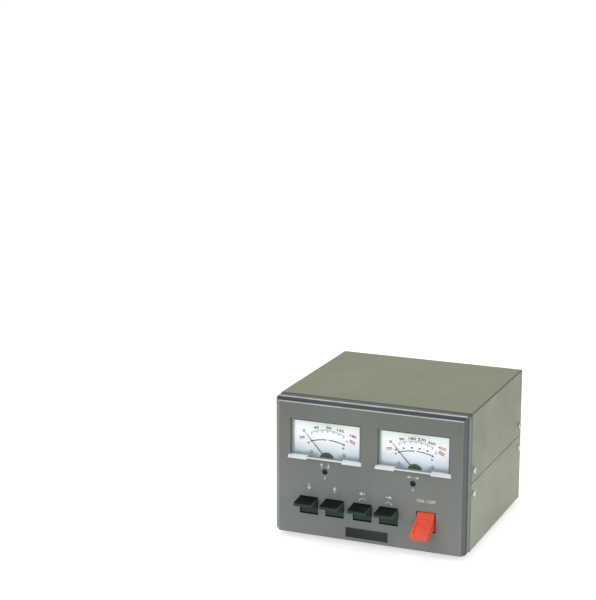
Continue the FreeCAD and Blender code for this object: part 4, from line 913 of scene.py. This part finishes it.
def pan_head(name, radius, height, recess="cross"):
    """Screw head on its seat at z = 0: a domed disc with a cross or a slot."""
    head = drum(name, 40, radius, height)
    ease(head, lambda first, last: min(first.z, last.z) > height * 0.9, height * 0.55, 5)
    if recess == "cross":
        cutter = cross_cutter(radius * 0.58, radius * 0.3, height * 0.62)
    else:
        cutter = slot_cutter(radius * 2.4, radius * 0.3, height * 0.45)
    choose([cutter])
    cutter.location.z = height
    settle()
    cut_with(head, cutter)
    return smooth(head)


def make_side_screws():
    """Eight cross-recess screws on the sides of the covers."""
    low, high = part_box("cover_screws")
    radius, height = PAN_HEAD
    side_x = high[0] - height
    places = []
    for way in (-1, 1):
        for y in (low[1] + radius, high[1] - radius):
            for z in (low[2] + radius, high[2] - radius):
                turn = spin(17 + 41 * len(places))
                places.append(facing((way, 0, 0), (way * side_x, y, z)) @ turn)
    heads = set_down(pan_head("side_screw", *PAN_HEAD), places, "side_screw_heads")
    finish_piece(heads, PLATED_SCREW, "case")
    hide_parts("cover_screws")


def make_rear_screws():
    """Four cross-recess screws that hold the rear panel to the side rails."""
    low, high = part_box("panel_screws")
    radius = PAN_HEAD[0]
    places = []
    for x in (low[0] + radius, high[0] - radius):
        for z in (low[2] + radius, high[2] - radius):
            turn = spin(11 + 37 * len(places))
            places.append(facing((0, 1, 0), (x, REAR_Y, z)) @ turn)
    heads = set_down(pan_head("rear_screw", *PAN_HEAD), places, "rear_screw_heads")
    finish_piece(heads, PLATED_SCREW, "case")
    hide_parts("panel_screws")


def terminal_xs(way):
    """Places of the terminals on the two strips, each strip counted along X one way."""
    middle = (TERMINALS - 1) / 2
    return [
        side * STRIP_X + way * (count - middle) * TERMINAL_PITCH
        for side in (-1, 1)
        for count in range(TERMINALS)
    ]


def make_terminal_screws():
    """Twelve slotted screws with square clamp washers on the two terminal strips."""
    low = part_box("terminal_screws")[0]
    base_y, z = low[1], middle_of("terminal_screws").z
    washer = 0.7 * MM
    xs = terminal_xs(1)
    places = [
        facing((0, 1, 0), (x, base_y + washer, z)) @ spin(8 + 53 * count)
        for count, x in enumerate(xs)
    ]
    head = pan_head("terminal_screw", 2.9 * MM, 1.1 * MM, "slot")
    heads = set_down(head, places, "terminal_screw_heads")
    finish_piece(heads, PLATED_SCREW, "case")
    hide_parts("terminal_screws")

    clamp = cube("clamp_washer", 7.0 * MM)
    set_heights(clamp, washer, 0.0)
    push(clamp, lambda spot, look: abs(look.y) > 0.5, 1.6 * MM)
    ease(clamp, lambda first, last: min(first.z, last.z) > washer / 2, 0.2 * MM, 2)
    clamps = set_down(clamp, [facing((0, 1, 0), (x, base_y, z)) for x in xs], "clamp_washers")
    finish_piece(clamps, PLATED_SCREW, "case")


def make_dial_screws():
    """Two small cross-recess screws on each dial card."""
    z = middle_of("dial_screws").z
    places = []
    for x in METER_X.values():
        for shift in (-17.4 * MM, 17.4 * MM):
            turn = spin(35 + 61 * len(places))
            places.append(facing((0, -1, 0), (x + shift, DIAL_Y, z)) @ turn)
    heads = set_down(pan_head("dial_screw", 1.9 * MM, 0.8 * MM), places, "dial_screw_heads")
    finish_piece(heads, NODE_FINISHES["dial_screws"], "case")
    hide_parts("dial_screws")


# ---------------- flat marks


def thicken(mark, thick=PRINT):
    """Give a flat mark its thickness of ink."""
    choose_faces(mark)
    lift(thick)
    return close_up(mark, outward=True)


def disc(name, sides, radius):
    """Printed dot, or with three sides an arrow head that points along +Y."""
    choose([])
    bpy.ops.mesh.primitive_circle_add(
        vertices=sides, radius=radius, fill_type="NGON", location=(0, 0, 0)
    )
    return thicken(named(name))


def arrow_head(name, size):
    """Printed triangle that points along +Y from its middle."""
    return disc(name, 3, size)


def stroke(name, length, width):
    """One printed bar, lying along Y from the origin."""
    bar = square(name)
    bar.scale = (width, length, 1.0)
    bar.location.y = length / 2
    settle()
    return thicken(bar)


def arc_band(name, radius, width, first, last):
    """Printed arc about the origin, between two angles from straight up, clockwise, in degrees."""
    band = square(name)
    inner, outer = radius - width / 2, radius + width / 2
    start = math.radians(90 - first)
    corners = ((inner, 0.0), (outer, 0.0), (inner, PRINT), (outer, PRINT))
    for vertex, (reach, height) in zip(band.data.vertices, corners):
        vertex.co = (reach * math.cos(start), reach * math.sin(start), height)
    choose_faces(band)
    sweep = math.radians(last - first)
    bpy.ops.mesh.spin(steps=24, angle=sweep, center=(0, 0, 0), axis=(0, 0, 1))
    weld(1e-7)
    return close_up(band, outward=True)


def lettering(name, words, size, weight=0.0, stretch=1.0):
    """Printed figures or words about the origin, stretched along X."""
    choose([])
    bpy.ops.object.text_add(location=(0, 0, 0))
    text = bpy.context.object
    text.data.body = words
    text.data.size = size
    text.data.align_x = "CENTER"
    text.data.align_y = "CENTER"
    text.data.resolution_u = 3
    text.data.offset = weight
    text.data.extrude = PRINT / 2
    text.scale.x = stretch
    bpy.ops.object.convert(target="MESH")
    figures = named(name)
    choose_faces(figures)
    bpy.ops.mesh.remove_doubles(threshold=1e-7)
    return close_up(figures)


def on_ring(hub, degrees, radius, turn=0.0):
    """Placement on a ring about a hub, at an angle from straight up."""
    return hub @ spin(degrees) @ out(radius) @ spin(turn)


# ---------------- meter details


def make_hoods():
    """Domed half-round covers over the meter movements."""
    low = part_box("movement_hoods")[0]
    radius, height, drop = 8.0 * MM, 0.75 * MM, 6.0 * MM
    hood = drum("movement_hood", 96, radius, height)
    ease(hood, lambda first, last: min(first.z, last.z) > 0.7 * MM, 0.3 * MM, 3)
    choose_faces(hood)
    bpy.ops.mesh.bisect(plane_co=(0, -drop, 0), plane_no=(0, 1, 0), clear_inner=True, use_fill=True)
    close_up(hood)
    choose_faces(hood, lambda spot, look: look.z > 0.9 and spot.length < drop)
    bpy.ops.mesh.inset(thickness=1.4 * MM, depth=-0.25 * MM)
    close_up(hood)
    smooth(hood)
    pivot_z = BASE_Z + PIVOT_LEVEL * MM
    places = [on_front(x, pivot_z, low[1] + height) for x in METER_X.values()]
    hoods = set_down(hood, places, "half_round_hoods")
    finish_piece(hoods, SMOKED_HOOD, "case")
    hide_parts("movement_hoods")


FIGURE_FAN_LEVEL = 39.6
TICK_FAN_LEVEL = 66.7
TICK_ANGLES = (-24.6, -16.2, -8.0, 0.0, 8.0, 16.2, 24.2)
TICKS_BETWEEN = 4
RANGE_FAN_LEVEL = 45.0
RANGE_RADIUS = 54.2 * MM
END_ARROW_SPOTS = ((-20.5, 94.2), (16.6, 92.6))
# x, level, lean from upright in degrees, length and width of each red end mark
END_ZONES = (
    (-30.4, 99.0, 101.0, 5.8, 0.9),
    (-30.0, 97.6, 101.0, 5.8, 0.9),
    (23.4, 102.6, -117.0, 6.6, 1.1),
    (22.8, 100.9, -117.0, 6.6, 1.1),
)
DIALS = {
    "left": {
        "black": (
            ("0", -25.4, 106.0), ("45", -12.1, 110.6), ("90", 1.0, 111.6),
            ("135", 13.0, 110.4), ("180", 26.3, 106.3),
        ),
        "red": (),
        "dots": (),
        "end_turns": (180, 0),
    },
    "right": {
        "black": (
            ("0", -25.9, 105.7), ("90", -14.6, 109.6), ("180", -4.3, 111.4),
            ("270", 5.8, 111.4), ("360", 16.0, 109.2),
        ),
        "red": (("450", 26.4, 105.2),),
        "dots": ((-20.4, 98.3), (-12.5, 100.9), (-4.1, 102.3), (3.7, 102.3), (11.8, 101.0)),
        "end_turns": (90, -90),
    },
}


def dial_place(side, x, level, degrees=0.0):
    """Placement on a dial card, x from its middle and level from the case bottom, in millimetres."""
    return on_front(METER_X[side] + x * MM, BASE_Z + level * MM, DIAL_Y, degrees)


def make_dial_figures(side):
    """Black and red figures over the ticks, leaning outward like a fan."""
    for ink, material in (("black", BLACK_INK), ("red", RED_INK)):
        marks = []
        for words, x, level in DIALS[side][ink]:
            lean = -math.degrees(math.atan2(x, level - FIGURE_FAN_LEVEL)) * 0.7
            figures = lettering("figures", words, 3.7 * MM, weight=0.12 * MM, stretch=1.5)
            marks.append(placed(figures, dial_place(side, x, level, lean)))
        if marks:
            finish_piece(gather(marks, f"dial_figures_{ink}_{side}"), material, "case")


def make_dial_scale(side):
    """Ticks, range arcs with their arrow heads, end arrows and dots."""
    hub = dial_place(side, 0.0, TICK_FAN_LEVEL)
    major = [on_ring(hub, -angle, 40.0 * MM) for angle in TICK_ANGLES]
    between = [
        on_ring(hub, -(first + (last - first) * share / (TICKS_BETWEEN + 1)), 41.4 * MM)
        for first, last in zip(TICK_ANGLES, TICK_ANGLES[1:])
        for share in range(1, TICKS_BETWEEN + 1)
    ]
    marks = [
        set_down(stroke("long_tick", 3.0 * MM, 0.66 * MM), major, "long_ticks"),
        set_down(stroke("short_tick", 1.8 * MM, 0.42 * MM), between, "short_ticks"),
    ]
    hub = dial_place(side, 0.0, RANGE_FAN_LEVEL)
    for first, last in ((-18.2, -1.2), (1.2, 18.2)):
        marks.append(placed(arc_band("range_arc", RANGE_RADIUS, 1.0 * MM, first, last), hub))
    for way in (-1, 1):
        tip = on_ring(hub, -18.8 * way, RANGE_RADIUS, -90 * way)
        marks.append(placed(arrow_head("arc_arrow", 1.5 * MM), tip))
    end_mark = dial_place(side, 20.8, 98.4, math.degrees(-0.4))
    marks.append(placed(stroke("end_mark", 1.8 * MM, 0.5 * MM), end_mark))
    for (x, level), turn in zip(END_ARROW_SPOTS, DIALS[side]["end_turns"]):
        marks.append(placed(arrow_head("end_arrow", 1.5 * MM), dial_place(side, x, level, turn)))
    for x, level in DIALS[side]["dots"]:
        marks.append(placed(disc("dial_dot", 16, 1.0 * MM), dial_place(side, x, level)))
    finish_piece(gather(marks, f"dial_scale_{side}"), BLACK_INK, "case")


def make_dial_end_zones(side):
    """Red marks beyond both ends of the scale."""
    marks = []
    for x, level, lean, length, width in END_ZONES:
        turn = lean - 180.0 if lean > 0 else lean
        bar = stroke("end_zone", length * MM, width * MM)
        marks.append(placed(bar, dial_place(side, x, level, turn)))
    small = dial_place(side, 19.8, 99.6, math.degrees(-0.5))
    marks.append(placed(stroke("end_zone_small", 2.4 * MM, 0.7 * MM), small))
    finish_piece(gather(marks, f"dial_end_zones_{side}"), RED_INK, "case")


# ---------------- printing on the front and the back


def arrow(size, degrees, x, z):
    """Arrow with a stem, pointing up before it is turned."""
    place = on_front(x, z, FACE_Y, degrees)
    return [
        placed(arrow_head("arrow_point", size), place @ out(size * 0.55)),
        placed(stroke("arrow_stem", size * 1.5, size * 0.42), place @ out(-size * 1.35)),
    ]


def make_face_marks():
    """White marks over the keys, by the adjusters, under the meters and over the power paddle."""
    marks = []
    key_z = BASE_Z + 51.0 * MM
    for name, degrees in {"down": 180, "up": 0, "left": 90, "right": -90}.items():
        marks += arrow(2.3 * MM, degrees, KEY_X[name], key_z)
    turning_radius = 3.4 * MM
    for name, way in (("left", -1), ("right", 1)):
        place = on_front(KEY_X[name], key_z - 8.3 * MM)
        marks.append(placed(arc_band("turning_arc", turning_radius, 0.6 * MM, -62, 62), place))
        tip = on_ring(place, -66 * way, turning_radius, -90 * way)
        marks.append(placed(arrow_head("turning_arrow", 1.2 * MM), tip))
    for x in METER_X.values():
        zero = lettering("adjuster_zero", "0", 3.8 * MM, weight=0.06 * MM)
        marks.append(placed(zero, on_front(x, BASE_Z + 62.0 * MM)))
    for side, turns in (("left", (0, 180)), ("right", (90, -90))):
        for degrees, shift in zip(turns, (-3.6, 3.6)):
            marks += arrow(1.8 * MM, degrees, METER_X[side] + shift * MM, BASE_Z + 74.6 * MM)
    words = lettering("power_words", "ON / OFF", 4.6 * MM, weight=0.08 * MM)
    marks.append(placed(words, on_front(POWER_X, BASE_Z + 52.0 * MM)))
    finish_piece(gather(marks, "face_marks"), WHITE_INK, "case")


def make_rear_marks():
    """Terminal numbers under the two strips, and a number over each trimmer."""
    marks = []
    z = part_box("terminal_strips")[0][2] - 4.0 * MM
    for count, x in enumerate(terminal_xs(-1)):
        figure = lettering("terminal_number", str(count % TERMINALS + 1), 4.0 * MM)
        marks.append(placed(figure, on_rear(x, z)))
    for figure, side in (("1", "right"), ("2", "left")):
        spot = middle_of(f"trimmer_shaft_{side}")
        place = on_rear(spot.x, spot.z + 8.0 * MM)
        marks.append(placed(lettering("trimmer_number", figure, 3.6 * MM), place))
    finish_piece(gather(marks, "rear_marks"), BLACK_INK, "case")


# ---------------- rear fittings and feet


def make_socket_contacts():
    """Seven contact sleeves in the round socket."""
    middle = middle_of("round_socket")
    floor_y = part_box("round_socket")[1][1] - SOCKET_DEPTH
    sleeve = drum("contact_sleeve", 20, 0.75 * MM, 6.5 * MM)
    smooth(well(sleeve, lambda spot, look: look.z > 0.9, 0.25 * MM, -3.0 * MM))
    shifts = [(0.0, 0.0)]
    for step in range(6):
        angle = math.radians(60 * step + 30)
        shifts.append((4.1 * MM * math.cos(angle), 4.1 * MM * math.sin(angle)))
    places = [facing((0, 1, 0), (middle.x + x, floor_y, middle.z + z)) for x, z in shifts]
    finish_piece(set_down(sleeve, places, "socket_contacts"), BRASS, "case")


def make_feet():
    """Round rubber feet with softened rims and a well for the screw."""
    low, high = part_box("rubber_feet")
    radius = 8.0 * MM
    foot = drum("rubber_foot", 48, radius, high[2] - low[2])
    well(foot, lambda spot, look: look.z < -0.9, radius - 3.6 * MM, 2.8 * MM)

    def lower_rim(first, last):
        return max(first.z, last.z) < TOUCH and first.xy.length > radius * 0.9

    smooth(ease(foot, lower_rim, 0.9 * MM, 4))
    places = [
        Matrix.Translation((x, y, low[2]))
        for x in (low[0] + radius, high[0] - radius)
        for y in (low[1] + radius, high[1] - radius)
    ]
    feet = set_down(foot, places, "soft_feet")
    finish_piece(feet, NODE_FINISHES["rubber_feet"], "case")
    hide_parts("rubber_feet")


def bush_profile(reach):
    """Half section of the cord bush, radius and distance from the rear panel, in metres."""
    flange = [(8.3, 0.0), (8.5, 0.4), (8.5, 1.9), (7.9, 2.5), (6.4, 2.7)]
    profile = [(INLET_RADIUS, 0.0)]
    profile += [(radius * MM, distance * MM) for radius, distance in flange]
    height = 3.0 * MM
    while height < reach - 1.6 * MM:
        outer = (6.5 - height / reach) * MM
        groove = outer - 0.7 * MM
        profile += [(outer, height), (outer, height + 1.1 * MM)]
        profile += [(groove, height + 1.3 * MM), (groove, height + 1.9 * MM)]
        height += 2.1 * MM
    tip = 5.3 * MM
    profile += [(tip, height), (tip, reach - 0.4 * MM)]
    return profile + [(tip - 0.4 * MM, reach), (INLET_RADIUS, reach)]


def make_cord_bush():
    """Ribbed strain relief round the cord inlet."""
    middle = middle_of("cord_bush")
    profile = bush_profile(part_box("cord_bush")[1][1] - REAR_Y)
    bush = square("ribbed_bush")
    choose_faces(bush)
    bpy.ops.mesh.delete(type="ONLY_FACE")
    close_up(bush)
    for vertex in bush.data.vertices:
        vertex.co = (profile[0][0], 0, profile[0][1])
    choose([bush])
    bpy.ops.object.mode_set(mode="EDIT")
    weld()
    for (radius, level), (next_radius, next_level) in zip(profile, profile[1:] + profile[:1]):
        step = (next_radius - radius, 0, next_level - level)
        bpy.ops.mesh.extrude_vertices_move(TRANSFORM_OT_translate={"value": step})
    weld()
    bpy.ops.mesh.select_all(action="SELECT")
    bpy.ops.mesh.spin(steps=48, angle=2 * math.pi, center=(0, 0, 0), axis=(0, 0, 1))
    weld()
    close_up(bush, outward=True)
    smooth(bush, 30)
    bush = placed(bush, facing((0, 1, 0), (middle.x, REAR_Y, middle.z)))
    finish_piece(bush, NODE_FINISHES["cord_bush"], "case")
    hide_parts("cord_bush")


make_side_screws()
make_rear_screws()
make_terminal_screws()
make_dial_screws()
make_hoods()
for side in METER_X:
    make_dial_figures(side)
    make_dial_scale(side)
    make_dial_end_zones(side)
make_face_marks()
make_rear_marks()
make_socket_contacts()
make_feet()
make_cord_bush()


# ---------------- studio


def aimed(item, place, direction):
    """Add a camera or a lamp at a place, looking in a direction."""
    bpy.context.collection.objects.link(item)
    item.location = place
    item.rotation_euler = Vector(direction).to_track_quat("-Z", "Y").to_euler()
    return item


def make_camera():
    """Camera at the photograph's place, a little above and to the right of the controller."""
    data = bpy.data.cameras.new("photo_camera")
    data.lens = 104.77
    data.sensor_width = 36.0
    data.sensor_fit = "AUTO"
    data.clip_end = 200.0
    camera = bpy.data.objects.new("photo_camera", data)
    direction = (-0.37829, 0.89777, -0.22561)
    bpy.context.scene.camera = aimed(camera, (0.56782, -1.61349, 0.62867), direction)


def soft_lamp(name, place, target, size, watts):
    """A square soft box pointed at a spot."""
    data = bpy.data.lights.new(name, "AREA")
    data.shape = "SQUARE"
    data.size = size
    data.energy = watts
    aimed(bpy.data.objects.new(name, data), place, Vector(target) - Vector(place))


def make_floor():
    """Pale seamless floor that keeps the shadow and reads white to the camera."""
    choose([])
    bpy.ops.mesh.primitive_plane_add(size=80.0, location=(0, 0, 0))
    floor = named("studio_floor")
    material = bpy.data.materials.new("studio_paper")
    material.use_nodes = True
    made = Shading(material.node_tree)
    shader = made.tree.nodes["Principled BSDF"].inputs
    shader["Base Color"].default_value = (0.80, 0.80, 0.79, 1.0)
    shader["Roughness"].default_value = 0.9
    shader["Emission Color"].default_value = (1.0, 1.0, 1.0, 1.0)
    rays = made.node("ShaderNodeLightPath").outputs
    seen = made.either(rays["Is Camera Ray"], rays["Is Glossy Ray"])
    through = made.either(seen, rays["Is Transmission Ray"])
    made.feed(shader["Emission Strength"], made.both(through, 0.62))
    floor.data.materials.append(material)


def make_sky():
    """Even white surround, brighter to the camera than to the object."""
    world = bpy.data.worlds.new("studio_surround")
    bpy.context.scene.world = world
    world.use_nodes = True
    made = Shading(world.node_tree)
    back = made.tree.nodes["Background"].inputs
    back["Color"].default_value = (1.0, 1.0, 1.0, 1.0)
    rays = made.node("ShaderNodeLightPath").outputs
    made.feed(back["Strength"], made.spread(rays["Is Camera Ray"], 0.5, 1.0))


make_camera()
soft_lamp("overhead_box", (-0.3, 0.1, 1.7), (0, 0, 0.07), 1.4, 8.5)
soft_lamp("right_box", (1.8, -0.5, 0.45), (0, 0, 0.06), 1.2, 8.6)
soft_lamp("front_box", (-0.6, -1.9, 0.9), (0, 0, 0.07), 1.2, 7.0)
make_floor()
make_sky()
bpy.context.scene.view_settings.view_transform = "Standard"
